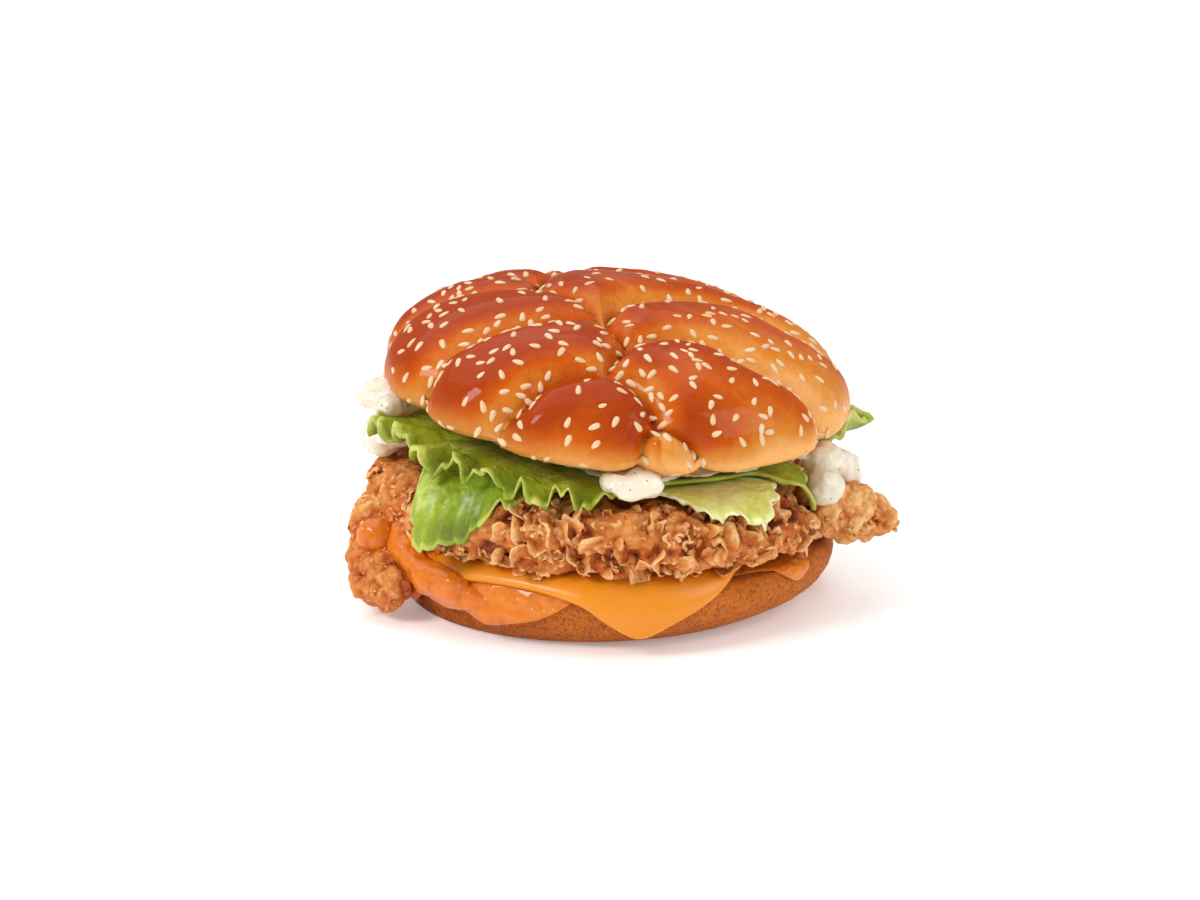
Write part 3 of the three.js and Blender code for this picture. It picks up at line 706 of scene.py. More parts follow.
def crease_depth(points, normals, lines):
    """How far the skin lies below the dome and behind a crest, and its distance to a crest it rises to
    and to any crease."""
    depth = np.zeros(len(points))
    behind = np.zeros(len(points))
    before = np.full(len(points), 99.0)
    nearest = np.full(len(points), 99.0)
    for deepest, over, beneath, line in lines:
        best = np.full(len(points), np.inf)
        side = np.zeros(len(points))
        for start, end in zip(line[:-1], line[1:]):
            along = end - start
            share = np.clip((points - start) @ along / (along @ along), 0, 1)
            apart = points - start - share[:, None] * along
            distance = np.linalg.norm(apart, axis=1)
            closer = distance < best
            turn = np.einsum("ij,ij->i", np.cross(along, normals), apart)
            side = np.where(closer, turn, side)
            best = np.where(closer, distance, best)
        width = np.where(side > 0, over, beneath)
        here = deepest * np.maximum(0, 1 - best / width) ** CREASE_POWER
        depth = np.maximum(depth, here)
        behind = np.maximum(behind, np.where(side > 0, 0, here))
        before = np.where(side > 0, np.minimum(before, best), before)
        nearest = np.minimum(nearest, best)
    return depth, behind, before, nearest


def crown_skin(azimuth, latitude, lines, fine=True):
    """Points of the crown's skin before it is tilted, and how well baked each one is."""
    points = dome(azimuth, latitude).reshape(-1, 3)
    normals = dome_normal(points)
    depth, behind, before, nearest = crease_depth(points, normals, lines)
    above = 0.3 + 0.7 * smoothstep(points[:, 2], CROWN["cut"], CROWN["middle"] + 1)
    relief = CROWN["swell"] * lumps(points, CROWN["swells"]) - depth * above
    if fine:
        relief -= CROWN["groove"] * np.exp(-((nearest / CROWN["groove"]) ** 2)) * above
        relief += bumps(points, CROWN_BUMPS)
    skin = points + normals * relief[:, None]
    skin[:, 2] = np.maximum(skin[:, 2], CROWN["cut"])
    upward = smoothstep(normals[:, 2], -0.2, 0.9)
    crest = np.exp(-((before / BAKE["crest_width"]) ** 2)) * smoothstep(skin[:, 2], -1, 13)
    bake = BAKE["least"] + BAKE["upward"] * upward + BAKE["crest"] * crest
    # Darker towards the left and paler towards the right
    bake += BAKE["left"] * smoothstep(-points[:, 0], -8, 45)
    bake -= BAKE["right"] * smoothstep(points[:, 0], 8, 55)
    bake -= BAKE["low"] * smoothstep(-points[:, 2], -11, -1)
    return skin, bake * (1 - BAKE["crease"] * smoothstep(behind, 0.05, 2.4))


def crown_place(points):
    """Tilts the crown and sets it on the stack."""
    x, y, z = np.moveaxis(points, -1, 0)
    cos, sin = math.cos(TILT), math.sin(TILT)
    x, z = x * cos + z * sin, z * cos - x * sin
    cos, sin = math.cos(NOD), math.sin(NOD)
    y, z = y * cos - z * sin, y * sin + z * cos
    return np.stack([x - CROWN["left"], y, z + CROWN["height"]], axis=-1)


def glazed_crust():
    """Shiny egg glaze: dark red on the ridges, amber on the sides and pale in the creases, with painted
    shade on the lower left.
    """
    finish = Finish("glazed_crust")
    bake = finish.value("bake") + (finish.noise(9) - 0.5) * 0.30 + (finish.noise(2.4, 4) - 0.5) * 0.26
    stops = [
        (0.0, shade("glaze_pale")),
        (0.34, shade("glaze_amber")),
        (0.66, shade("glaze_red")),
        (1.0, shade("glaze_dark")),
    ]
    blisters = finish.cells(1.1).step(0.1, 0.55)
    wrinkles = finish.noise(2.2, 5, 0.6)
    return finish.surface(
        # The low value mixes painted shade into the lower left of the crown
        base_color=finish.mix(finish.value("low") * 0.7, finish.ramp(bake, stops), shade("glaze_low_shade")),
        roughness=0.34 + finish.noise(5) * 0.2,
        specular_ior_level=0.0,
        coat_weight=0.34,
        coat_ior=1.42,
        coat_roughness=0.1,
        normal=finish.bump((finish.noise(5.5, 2), 0.5), (wrinkles, 0.5), (blisters, 0.06)),
    )


class BURGER_OT_crown(bpy.types.Operator):
    """Adds the plaited crown of the bun"""

    bl_idname = "burger.crown"
    bl_label = "Plaited crown"

    def execute(self, context):
        angles = full_turn(STEPS_ROUND["crown"])
        latitudes = np.concatenate([np.linspace(88.5, 10, 130), np.linspace(9.2, -50, 52)])
        azimuth, latitude = np.meshgrid(angles, latitudes)
        skin, bake = crown_skin(azimuth.ravel(), latitude.ravel(), crease_lines())
        skin[-len(angles):, 2] = CROWN["cut"]
        tip, tip_bake = crown_skin(np.zeros(1), np.array([90.0]), crease_lines())
        points = np.vstack([tip, skin, [[0, 0, CROWN["cut"]]]])
        bake = np.concatenate([tip_bake, bake, [0]])
        # Where shade is painted on the crown: low down on its left side
        low = smoothstep(-points[:, 2], -13, -2) * smoothstep(-points[:, 0], -2, 36)
        faces = ring_faces(len(latitudes), len(angles))
        values = {"bake": bake, "low": low}
        points = crown_place(points)
        crown = add_piece("plaited_crown", points, faces, glazed_crust(), values)
        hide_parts("top_bun")
        return {"FINISHED"}


# Sesame seeds: thickest on the top and along the creases


def seed_body(columns=10, rows=7):
    """A teardrop seed of length, width and thickness 1, along x."""
    share = np.linspace(0, 1, rows + 2)[1:-1]
    girth = np.sqrt(np.sin(math.pi * share ** 0.86)) * (1.04 - 0.3 * share)
    turns = np.radians(full_turn(columns))
    rings = np.stack([
        np.stack([np.full(columns, 0.5 - s), 0.5 * g * np.cos(turns), 0.5 * g * np.sin(turns)], axis=1)
        for s, g in zip(1 - share, girth)
    ])
    return ring_points((-0.5, 0, 0), rings, (0.5, 0, 0)), ring_faces(rows, columns)


def seed_places(count):
    """Where the seeds sit: their middles, the basis of each one, its size and its draw."""
    draw = Draws(SEED["draw"])
    lines = crease_lines()
    places = []
    while len(places) < count:
        batch = np.array([[draw() for _ in range(4)] for _ in range(400)])
        azimuth = 360 * batch[:, 0]
        latitude = np.degrees(np.arcsin(-0.3 + 1.3 * batch[:, 1]))
        base = dome(azimuth, latitude)
        depth, _, _, nearest = crease_depth(base, dome_normal(base), lines)
        spot, _ = crown_skin(azimuth, latitude, lines, False)
        along = crown_skin(azimuth + 1, latitude, lines, False)[0] - spot
        down = crown_skin(azimuth, latitude - 1, lines, False)[0] - spot
        share = SEED["low_share"] + SEED["top_share"] * smoothstep(latitude, 5, 60)
        share += SEED["crease_share"] * smoothstep(depth, 0.2, 2.4)
        cluster = smoothstep(lumps(base, 11), -0.3, 0.5) * (1 - 0.6 * np.exp(-((nearest / 1.2) ** 2)))
        cluster = 0.35 + 0.9 * cluster
        for row in np.flatnonzero(batch[:, 2] <= share):
            small = len(places) >= SEED["large"]
            spacing = SEED["small_spacing"] if small else SEED["spacing"]
            if small and batch[row, 2] > share[row] * cluster[row]:
                continue
            if any(np.linalg.norm(place["at"] - spot[row]) < spacing for place in places):
                continue
            up = np.cross(down[row], along[row])
            up /= np.linalg.norm(up)
            side = along[row] / np.linalg.norm(along[row])
            spin = math.tau * batch[row, 3]
            length = side * math.cos(spin) + np.cross(up, side) * math.sin(spin)
            places.append({
                "at": spot[row],
                "basis": np.stack([length, np.cross(up, length), up]),
                "size": 1.1 - 0.08 * min(1, len(places) / SEED["large"]) + 0.14 * (batch[row, 3] - 0.5),
                "draw": batch[row, 1] * 7 % 1,
            })
            if len(places) == count:
                break
    return places


def sesame():
    """Toasted sesame: cream in the middle and tan at the rim."""
    finish = Finish("sesame")
    tone = finish.value("tone") * 0.8 + finish.noise(1.2) * 0.35
    return finish.surface(
        base_color=finish.mix(tone, shade("seed_cream"), shade("seed_rim")),
        roughness=0.34 + finish.noise(0.9) * 0.2,
        coat_weight=0.25,
        coat_roughness=0.2,
        subsurface_weight=0.08,
        normal=finish.bump((finish.noise(0.6), 0.05)),
    )


class BURGER_OT_seeds(bpy.types.Operator):
    """Bakes the sesame seeds onto the crown"""

    bl_idname = "burger.seeds"
    bl_label = "Sesame seeds"

    def execute(self, context):
        body, faces = seed_body()
        rim = smoothstep(np.hypot(body[:, 0], body[:, 1]), 0.28, 0.5)
        points, all_faces, tones = [], [], []
        for place in seed_places(sizes().seeds):
            scale = place["size"] * sizes().seed_scale
            lengths = body * np.array((SEED["length"], SEED["width"], SEED["thickness"])) * scale
            start = len(points) * len(body)
            points.append(lengths @ place["basis"] + place["at"] - place["basis"][2] * SEED["sunk"])
            all_faces += [tuple(start + i for i in face) for face in faces]
            tones.append(0.25 + 0.45 * place["draw"] + 0.45 * rim)
        points, values = crown_place(np.vstack(points)), {"tone": np.concatenate(tones)}
        add_piece("sesame_seeds", points, all_faces, sesame(), values)
        return {"FINISHED"}


# The heel of the bun


def heel_radius(angle, z):
    """Distance of the heel's side from the axis, with a base that is set to the left."""
    base = HEEL["base_radius"] - HEEL["base_shift"] * np.cos(np.radians(angle))
    climb = np.clip((z - HEEL["bulge_height"]) / (HEEL["top"] - HEEL["bulge_height"]), 0, 1)
    rim = HEEL["radius"] - HEEL["rim_inset"] * (1 - np.sqrt(1 - climb ** 2))
    drop = np.clip(1 - np.maximum(0, z) / HEEL["bulge_height"], 0, 1)
    side = base + (HEEL["radius"] - base) * np.sqrt(1 - drop ** 2)
    return np.where(z >= HEEL["bulge_height"], rim, side)


def heel_crust():
    """Fine matt crust, darker low down at the left, with the crumb on its cut face."""
    finish = Finish("heel_crust")
    patches = finish.noise(16, 3) * 0.8 + finish.noise(3.5, 4) * 0.45 + finish.value("dark") - 0.45
    crust = finish.mix(patches, shade("heel_brown"), shade("heel_dark"))
    crust = finish.mix(finish.noise(0.9, 4, 0.75).step(0.52, 0.38) * 0.55, crust, shade("heel_speck"))
    flour = finish.noise(1.5, 4, 0.75).step(0.52, 0.68) * 0.4
    crust = finish.mix(flour, crust, shade("glaze_pale"))
    return finish.surface(
        base_color=finish.mix(finish.value("cut"), crust, shade("crumb")),
        roughness=0.6 + finish.noise(1.5) * 0.25,
        specular_ior_level=0.2,
        normal=finish.bump((finish.noise(1.0, 5, 0.75), 1.3)),
    )


class BURGER_OT_heel(bpy.types.Operator):
    """Adds the heel of the bun"""

    bl_idname = "burger.heel"
    bl_label = "Heel of the bun"

    def execute(self, context):
        angles = full_turn(STEPS_ROUND["heel"])
        side = HEEL["bulge_height"] * (1 - np.sin(np.radians(np.linspace(0, 90, 22))))
        rounding = 1 - np.cos(np.radians(np.linspace(0, 90, 9)))
        rim = HEEL["top"] - (HEEL["top"] - HEEL["bulge_height"]) * rounding
        heights = np.concatenate([rim, side[1:]])
        rings = [polar(angles, radius, HEEL["top"]) for radius in HEEL["cut_radii"]]
        rings += [polar(angles, heel_radius(angles, z), z) for z in heights]
        rings += [polar(angles, HEEL["base_ring"], 0) + (-HEEL["base_shift"], 0, 0)]
        rings = np.stack(rings)
        points = ring_points((0, 0, HEEL["top"]), rings, (-HEEL["base_shift"], 0, 0))
        reach = from_axis(points)
        raised = smoothstep(points[:, 2], 0.4, 3)
        relief = (bumps(points, HEEL_BUMPS) - HEEL["sunk"]) * raised
        points[:, :2] *= (1 + relief / np.maximum(reach, 1))[:, None]
        cut = smoothstep(points[:, 2], HEEL["top"] - 0.3, HEEL["top"] - 0.05)
        cut = 0.7 * cut * smoothstep(HEEL["crumb_radius"] - reach, 0, 3)
        dark = 0.35 * smoothstep(-points[:, 0], -10, 50) + 0.25 * smoothstep(-points[:, 2], -5, 0)
        faces = ring_faces(len(rings), len(angles))
        values = {"cut": cut, "dark": dark}
        heel = add_piece("bun_heel", points, faces, heel_crust(), values)
        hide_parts("bottom_bun")
        return {"FINISHED"}


# Burger sauce


def sauce_reach(angle):
    """Distance along the heel to the sauce's edge, with its spills and their drips."""
    spill = sum(lobe["extra"] * bell(angle, lobe["angle"], lobe["width"]) for lobe in SAUCE_SPILLS)
    drips = SAUCE["drip"] * np.sin(np.radians(angle * SAUCE["drips"])) * spill / SAUCE_SPILLS[0]["extra"]
    return SAUCE["reach"] + spill + drips


def drape_rows(reach, edge, shares):
    """Distances from the axis for a draped layer's rows, closest where it turns over its edge."""
    turn = np.minimum(edge, reach - 4)
    return [0.5 * turn] + [turn + share * (reach - turn) for share in shares]


def draped(angles, shares, edge, reach, point_at):
    """Points and faces of a sheet that is draped over what is under it."""
    places = drape_rows(reach, edge, shares)
    over = [point_at(angles, place, True) for place in places]
    below = [point_at(angles, place, False) for place in places][::-1]
    middle = np.zeros(1)
    first = point_at(middle, middle, True)[0]
    last = point_at(middle, middle, False)[0]
    rings = np.stack(over + below)
    return ring_points(first, rings, last), ring_faces(len(rings), len(angles))


def sauce_point(angles, place, outside):
    """The sauce's outer or inner points at a distance along the heel, over its rim and down its side."""
    reach = sauce_reach(angles)
    rim = HEEL["radius"] - HEEL["rim_inset"]
    edge = np.sqrt(np.maximum(0, 1 - np.minimum(1, place / reach) ** 8))
    fill = (0.15 + 0.85 * edge) if outside else 0
    depth = np.maximum(0, place - rim)
    z = HEEL["top"] + GAP - depth
    thickness = (SAUCE["height"] + SAUCE["bead"] * smoothstep(depth, 3, 9)) * fill
    lift = SAUCE["height"] * (1 - smoothstep(depth, 0, 4)) * fill
    radius = np.where(place <= rim, place, heel_radius(angles, z) + GAP + thickness)
    height = np.where(place <= rim, HEEL["top"] + GAP + SAUCE["height"] * fill, z + lift)
    return polar(angles, radius, height)


def orange_sauce():
    """Glossy orange sauce with fine darker and lighter specks."""
    finish = Finish("orange_sauce")
    tone = finish.noise(5, 3) * 0.9 + finish.value("deep") - 0.3
    base = finish.mix(tone, shade("sauce"), shade("sauce_deep"))
    specks = finish.cells(1.9).step(0.15, 0.07) * 0.6
    pale = finish.cells(2.6).step(0.16, 0.08) * 0.4
    base = finish.mix(specks, base, shade("sauce_speck"))
    return finish.surface(
        base_color=finish.mix(pale, base, shade("sauce_pale")),
        roughness=0.24 + finish.noise(3) * 0.18,
        specular_ior_level=0.1,
        coat_weight=0.6,
        coat_roughness=0.05,
        subsurface_weight=0.04,
        normal=finish.bump(
            (finish.noise(5, 1), 2.4), (finish.noise(2.2, 1), 0.5), (finish.cells(1.5), 0.1)
        ),
    )


class BURGER_OT_sauce(bpy.types.Operator):
    """Adds the burger sauce on the heel and its drop on the fillet"""

    bl_idname = "burger.sauce"
    bl_label = "Burger sauce"

    def execute(self, context):
        angles = full_turn(STEPS_ROUND["sauce"])
        shares = np.concatenate([np.linspace(0, 0.9, 22), 1 - 0.1 * np.linspace(0.9, 0, 8) ** 2])
        rim = HEEL["radius"] - HEEL["rim_inset"]
        points, faces = draped(angles, shares, rim, sauce_reach(angles), sauce_point)
        reach = np.maximum(from_axis(points), 1)
        hanging = smoothstep(-points[:, 2], -14.6, -12.5)
        relief = hanging * (SAUCE["blob"] * np.maximum(0, lumps(points, 5)) + 0.6 * lumps(points, 2.4))
        points[:, :2] *= (1 + relief / reach)[:, None]
        deep = 0.5 * smoothstep(-points[:, 2], -9, -3)
        material = orange_sauce()
        sauce = add_piece("sauce_spill", points, faces, material, {"deep": deep})
        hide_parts("burger_sauce")
        smears = [ball(spot[:3], (spot[3],) * 3) for line in SAUCE_SMEARS for spot in smooth_line(line, 4)]
        groups = [
            ("sauce_drop", [ball(SAUCE_DROP["at"], SAUCE_DROP["size"])], "burger_sauce_drop"),
            ("sauce_smear", smears, None),
        ]
        for name, bodies, node in groups:
            points, normals, faces = fused(bodies, SMEAR["voxel"], SMEAR["smoothing"])
            points = points + normals * bumps(points, SMEAR["bumps"])[:, None]
            deep = np.full(len(points), SMEAR["deep"])
            piece = add_piece(name, points, faces, material, {"deep": deep})
            if node:
                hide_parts(node)
        return {"FINISHED"}


# The cheese slice


def cheese_reach(angle):
    """Distance to the slumped slice's edge, with its corners a little rounded."""
    total = 0
    for facing, distance in CHEESE_EDGES:
        share = np.cos(np.radians(angle - facing))
        total = total + np.where(share > 0.1, np.maximum(share, 0.1) / distance, 0) ** CHEESE["roundness"]
    return total ** (-1 / CHEESE["roundness"])


def cheese_bend(angles):
    """Where the slice starts to turn down and the radius of its turn: both larger over the sauce."""
    spill = smoothstep(sauce_reach(angles - 4), 49, 55)
    return CHEESE["bend_start"] + 1.2 * spill, CHEESE["bend"] + 2.4 * spill


def cheese_point(angles, place, outside):
    """The slice's upper or lower points at a distance along it, flat and then hanging over the rim."""
    start, bend = cheese_bend(angles)
    reach = cheese_reach(angles)
    along = np.maximum(0, place - start)
    turn = np.minimum(along / bend, math.radians(CHEESE["hang"]))
    hang = along - turn * bend
    edge = np.sqrt(np.maximum(0, 1 - np.minimum(1, place / reach) ** 24))
    thickness = CHEESE["thickness"] * (0.35 + 0.65 * edge) if outside else 0
    radius = np.minimum(place, start) + (bend + thickness) * np.sin(turn) + hang * np.cos(turn)
    z = CHEESE_REST - bend + (bend + thickness) * np.cos(turn) - hang * np.sin(turn)
    return polar(angles, radius, z)


def melted_cheese():
    """Smooth satin cheese with faint streaks."""
    finish = Finish("melted_cheese")
    tone = finish.noise(14, 2) * 0.6 + finish.noise(2.5, 3) * 0.25 - 0.1
    return finish.surface(
        base_color=finish.mix(tone, shade("cheese"), shade("cheese_streak")),
        roughness=0.3 + finish.noise(4) * 0.16,
        specular_ior_level=0.25,
        coat_weight=0.25,
        coat_roughness=0.2,
        subsurface_weight=0.15,
        normal=finish.bump((finish.noise(9, 2), 0.5), (finish.noise(1.2, 4), 0.05)),
    )


class BURGER_OT_cheese(bpy.types.Operator):
    """Adds the cheese slice"""

    bl_idname = "burger.cheese"
    bl_label = "Cheese slice"

    def execute(self, context):
        angles = full_turn(STEPS_ROUND["cheese"])
        shares = np.concatenate([np.linspace(0, 0.94, 20), 1 - 0.06 * np.linspace(0.9, 0, 8) ** 2])
        edge, far = CHEESE["bend_start"], cheese_reach(angles)
        points, faces = draped(angles, shares, edge, far, cheese_point)
        reach = np.maximum(from_axis(points), 1)
        hanging = smoothstep(reach, 50, 54)
        points[:, :2] *= (1 + CHEESE["slump"] * hanging * lumps(points, 11) / reach)[:, None]
        cheese = add_piece("cheese", points, faces, melted_cheese())
        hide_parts("cheese_slice")
        return {"FINISHED"}


# The fried fillet


def fillet_outline(angle):
    """The fillet's radius, blended between its radii."""
    place = (np.asarray(angle, float) / 360 * len(FILLET_RADII)) % len(FILLET_RADII)
    first = np.floor(place).astype(int) % len(FILLET_RADII)
    radii = np.array(FILLET_RADII, float)
    blend = smoothstep(place - np.floor(place), 0, 1)
    return radii[first] + (radii[(first + 1) % len(radii)] - radii[first]) * blend


def fillet_top(points):
    """Height of the fillet's top, which leans with the stack and falls at both ends."""
    right = FILLET["fall_right"] * smoothstep(points[:, 0], 34, 54)
    left = FILLET["fall_left"] * smoothstep(-points[:, 0], 20, 62)
    return FILLET["top"] + lean(points) - right - left


def cheese_fall(angle, radius):
    """How far the cheese slice has turned down under the fillet's rim at a distance from the axis."""
    start, bend = cheese_bend(angle)
    skin = bend + CHEESE["thickness"]
    across = np.clip((radius - start) / skin, 0, 0.8)
    return skin * (1 - np.sqrt(1 - across ** 2))


def fillet_slab():
    """The fillet's flat middle with its rounded, craggy rim."""
    angles = full_turn(STEPS_ROUND["fillet"])
    rings = []
    for rise in FILLET_RISES:
        turn = math.radians(rise)
        roundness = FILLET["over"] if rise > 0 else FILLET["under"]
        radius = fillet_outline(angles) - FILLET["edge"] * (1 - math.cos(turn) ** roundness)
        rim = polar(angles, radius, 0.0)
        top = fillet_top(rim)
        middle, half = (top + FILLET["bottom"]) / 2, (top - FILLET["bottom"]) / 2
        rim[:, 2] = middle + half * math.copysign(abs(math.sin(turn)) ** FILLET["flank"], rise)
        relief = bumps(rim, FILLET_CRAGS) * math.cos(turn) ** 0.5
        rim[:, :2] *= (1 + relief / radius)[:, None]
        rim[:, 2] = np.clip(rim[:, 2] + 0.5 * relief * math.sin(turn), FILLET["bottom"], top)
        rim[:, 2] -= max(0, -math.sin(turn)) * cheese_fall(angles, radius + relief - FILLET["clear"])
        rings.append(rim)
    points = ring_points((0, 0, FILLET["top"]), np.stack(rings), (0, 0, FILLET["bottom"]))
    return points, ring_faces(len(rings), len(angles))


def craggy_roll(path, steps, sides):
    """A craggy roll along a path of (x, y, z, radius), with rounded ends."""
    line = smooth_line(path, steps)
    rings = []
    turns = np.radians(full_turn(sides))
    for place in range(1, len(line) - 1):
        tangent = line[place + 1, :3] - line[place - 1, :3]
        side = np.cross(tangent, (0, 0, 1))
        side /= np.linalg.norm(side)
        up = np.cross(side, tangent)
        up /= np.linalg.norm(up)
        share = place / (len(line) - 1)
        out = np.cos(turns)[:, None] * side + np.sin(turns)[:, None] * up
        skin = line[place, :3] + out * line[place, 3] * math.sqrt(1 - (2 * share - 1) ** 6)
        rings.append(skin + out * 0.45 * bumps(skin, FILLET_CRAGS)[:, None])
    return ring_points(line[0, :3], np.stack(rings), line[-1, :3]), ring_faces(len(rings), sides)


def fried_crust():
    """Fried breading: pale floury flakes, golden crust, and painted shade in its hollows and flake roots.
    """
    finish = Finish("fried_crust")
    pebbles = finish.cells(1.7)
    fried = finish.value("fried") + (finish.noise(7, 4) - 0.5) * 0.6
    fried = fried + (finish.noise(1.5, 4, 0.6) - 0.5) * 0.25 + (pebbles - 0.45) * 0.4
    stops = [
        (0.0, shade("crust_pale")),
        (0.3, shade("crust_gold")),
        (0.66, shade("crust_brown")),
        (1.0, shade("crust_dark_shade")),
    ]
    grit = finish.noise(0.8, 5, 0.7)
    return finish.surface(
        base_color=finish.ramp(fried, stops),
        roughness=0.42 + finish.noise(2.2) * 0.3,
        specular_ior_level=0.25,
        normal=finish.bump((finish.noise(2.4, 4, 0.65), 1.2), (1 - pebbles, 0.4), (grit, 0.14)),
    )


def hollow_shade_distance(points):
    """Distance to the painted shadow of the hollow under the right-hand mayonnaise, longer along x."""
    return np.linalg.norm((points - HOLLOW_SHADE_SPOT[:3]) / (1.5, 1, 1), axis=1)


def crust_flakes(skin, normals, kind, count):
    """Thin curled flakes of breading that stand out of the fillet's side: points, faces and how dark each
    point is, from its frying and from painted shade that darkens each flake towards its root."""
    reach = from_axis(skin)
    room = fillet_top(skin) - skin[:, 2]
    tail = (skin[:, 0] < -50) & (skin[:, 2] > 3) & kind["tail"]
    beside = (reach > 42) & (room > 0.4) & (normals[:, 2] < 0.96)
    beside &= tail | (skin[:, 2] > FILLET["bottom"] - 1.5)
    low = (normals[:, 2] < -0.75) & (reach < 50)
    azimuth = np.degrees(np.arctan2(skin[:, 1], skin[:, 0]))
    leaf_over = (azimuth > -152) & (azimuth < -119) & (skin[:, 2] > 24)
    rows = np.flatnonzero(beside & ~low & ~leaf_over & (hollow_shade_distance(skin) > HOLLOW_SHADE_SPOT[3]))
    rng = np.random.default_rng(kind["draw"])
    pick = rng.choice(rows, count)
    clear = smoothstep(room[pick], -1, 4) * smoothstep(skin[pick, 2], FLAKE["low"], FLAKE["low"] + 5)
    clear = np.maximum(clear, 0.6 * tail[pick])
    normal = normals[pick]
    side = unit(np.cross(normal, rng.normal(size=(count, 3))))
    along = np.cross(side, normal)
    stand = np.radians(rng.uniform(*FLAKE["stand"], count))[:, None, None]
    curl = np.radians(rng.uniform(*FLAKE["curl"], count))[:, None, None]
    smooth = 0.62 + 0.38 * smoothstep(skin[pick, 0], -52, -38) * (1 - smoothstep(skin[pick, 0], 46, 54))
    large = rng.uniform(0, 1, count) ** 1.7 * clear
    length = ((kind["length"][0] + large * kind["length"][1]) * smooth)[:, None, None]
    width = ((kind["width"][0] + large * kind["width"][1]) * smooth)[:, None, None]
    phase = rng.uniform(0, 6.3, (count, 1, 1))
    share = (1 - (1 - np.linspace(0, 1, kind["rows"])) ** 1.4)[None, :, None]
    turns = np.radians(full_turn(kind["columns"]))[None, None, :]
    bend = stand + curl * share
    across = np.cos(turns) * (1.15 - 0.15 * np.cos(turns) ** 2)
    ragged = (1 - 0.45 * across ** 4 + 0.1 * np.sin(3.4 * across + phase)) * length * share
    fold = 0.14 * width * np.sin((2.2 + phase * 0.28) * across + 2 * phase) * (0.4 + share)
    run = ragged * np.cos(bend) + fold * np.sin(bend)
    rise = ragged * np.sin(bend) + fold * np.cos(bend) * 0.4
    girth = width / 2 * (0.8 + 0.3 * share - 0.3 * share ** 3)
    sheet = kind["thickness"] * np.sqrt(1 - 0.82 * share ** 6) / 2 * np.sin(turns)
    foot, normal, along, side = (each[:, None, None, :] for each in (skin[pick], normal, along, side))
    points = foot - FLAKE["sunk"] * normal + run[..., None] * along + rise[..., None] * normal
    points += (girth * across)[..., None] * side
    wrinkle = bumps(points.reshape(-1, 3), [FLAKE["wrinkle"]]).reshape(points.shape[:3])
    points -= (sheet * np.sin(bend))[..., None] * along
    points += (wrinkle + sheet * np.cos(bend))[..., None] * normal
    # Painted shade: each flake is darker towards its root and paler towards its tip
    pale = np.broadcast_to(share - 0.15 * np.abs(across), points.shape[:3])
    tone = rng.uniform(-0.12, 0.16, (count, 1, 1)) + 0.58 - 0.62 * pale
    pattern = ribbon_faces(kind["rows"], kind["columns"])
    size = kind["rows"] * kind["columns"]
    starts = range(0, count * size, size)
    faces = [tuple(start + i for i in face) for start in starts for face in pattern]
    return points.reshape(-1, 3), faces, tone.ravel()


class BURGER_OT_fillet(bpy.types.Operator):
    """Adds the fried fillet with its flakes and crumbs"""

    bl_idname = "burger.fillet"
    bl_label = "Fried fillet"

    def execute(self, context):
        bodies = [fillet_slab(), craggy_roll(FILLET_ARM, 8, 30), craggy_roll(FILLET_TAIL, 7, 30)]
        points, normals, faces = fused(bodies, sizes().voxel, 2)
        arm = smoothstep(points[:, 0], 46, 54)
        flaky = smoothstep(points[:, 0], -52, -40) * smoothstep(-points[:, 0], -54, -46)
        warp = np.stack([lumps(points + shift, 6) for shift in (0, 40, 80)], axis=1)
        warped = points + CRUST["warp"] * warp
        folds = sum(
            depth * (0.8 - 2.4 * abs(lumps(warped + shift, size))) for depth, size, shift in CRUST_FOLDS
        )
        near, _, draw = flakes(points + 0.8 * lumps(points, 3)[:, None], CRUST["knob"])
        knobs = (CRUST["knob_height"] + 0.9 * arm) * (0.62 - np.minimum(near, 1) ** 2) + 0.6 * draw
        near, second, draw = flakes(points, CRUST["grain"])
        grains = CRUST["grain_height"] * draw * smoothstep(second - near, 0, 0.35)
        relief = flaky * folds + (1 - flaky) * knobs + grains
        inside = (points[:, 2] > FILLET["bottom"] + 1.5) | (from_axis(points) > 50)
        relief = (relief - CRUST["sunk"]) * sizes().crust_relief * inside
        skin = points + normals * relief[:, None]
        # Painted shade: the crust is darker where its relief sinks into recesses
        fried = FRIED["least"] + FRIED["folds"] * flaky + FRIED["depth"] * smoothstep(-relief, -1.2, 2.2)
        fried += FRIED["patches"] * lumps(points, 12)
        # Painted shadow of the hollow under the right-hand mayonnaise
        fried += FRIED["hollow_shade"] * np.exp(-((hollow_shade_distance(points) / HOLLOW_SHADE_SPOT[3]) ** 2))
        fried += FRIED["tail"] * smoothstep(-points[:, 0], 46, 54) * smoothstep(-points[:, 2], -24, -16)
        fried -= FRIED["arm"] * smoothstep(points[:, 0], 44, 52)
        material = fried_crust()
        fillet = add_piece("fillet", skin, faces, material, {"fried": fried})
        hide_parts("chicken_fillet")
        for name, kind in CRUST_KINDS.items():
            points, faces, tones = crust_flakes(skin, normals, kind, getattr(sizes(), name))
            add_piece(name, points, faces, material, {"fried": tones})
        return {"FINISHED"}


# Lettuce


def lobed(angle, lobes):
    """The sum of lobes, each as (azimuth, half width, size)."""
    return sum(extra * bell(angle, centre, width) for centre, width, extra in lobes)


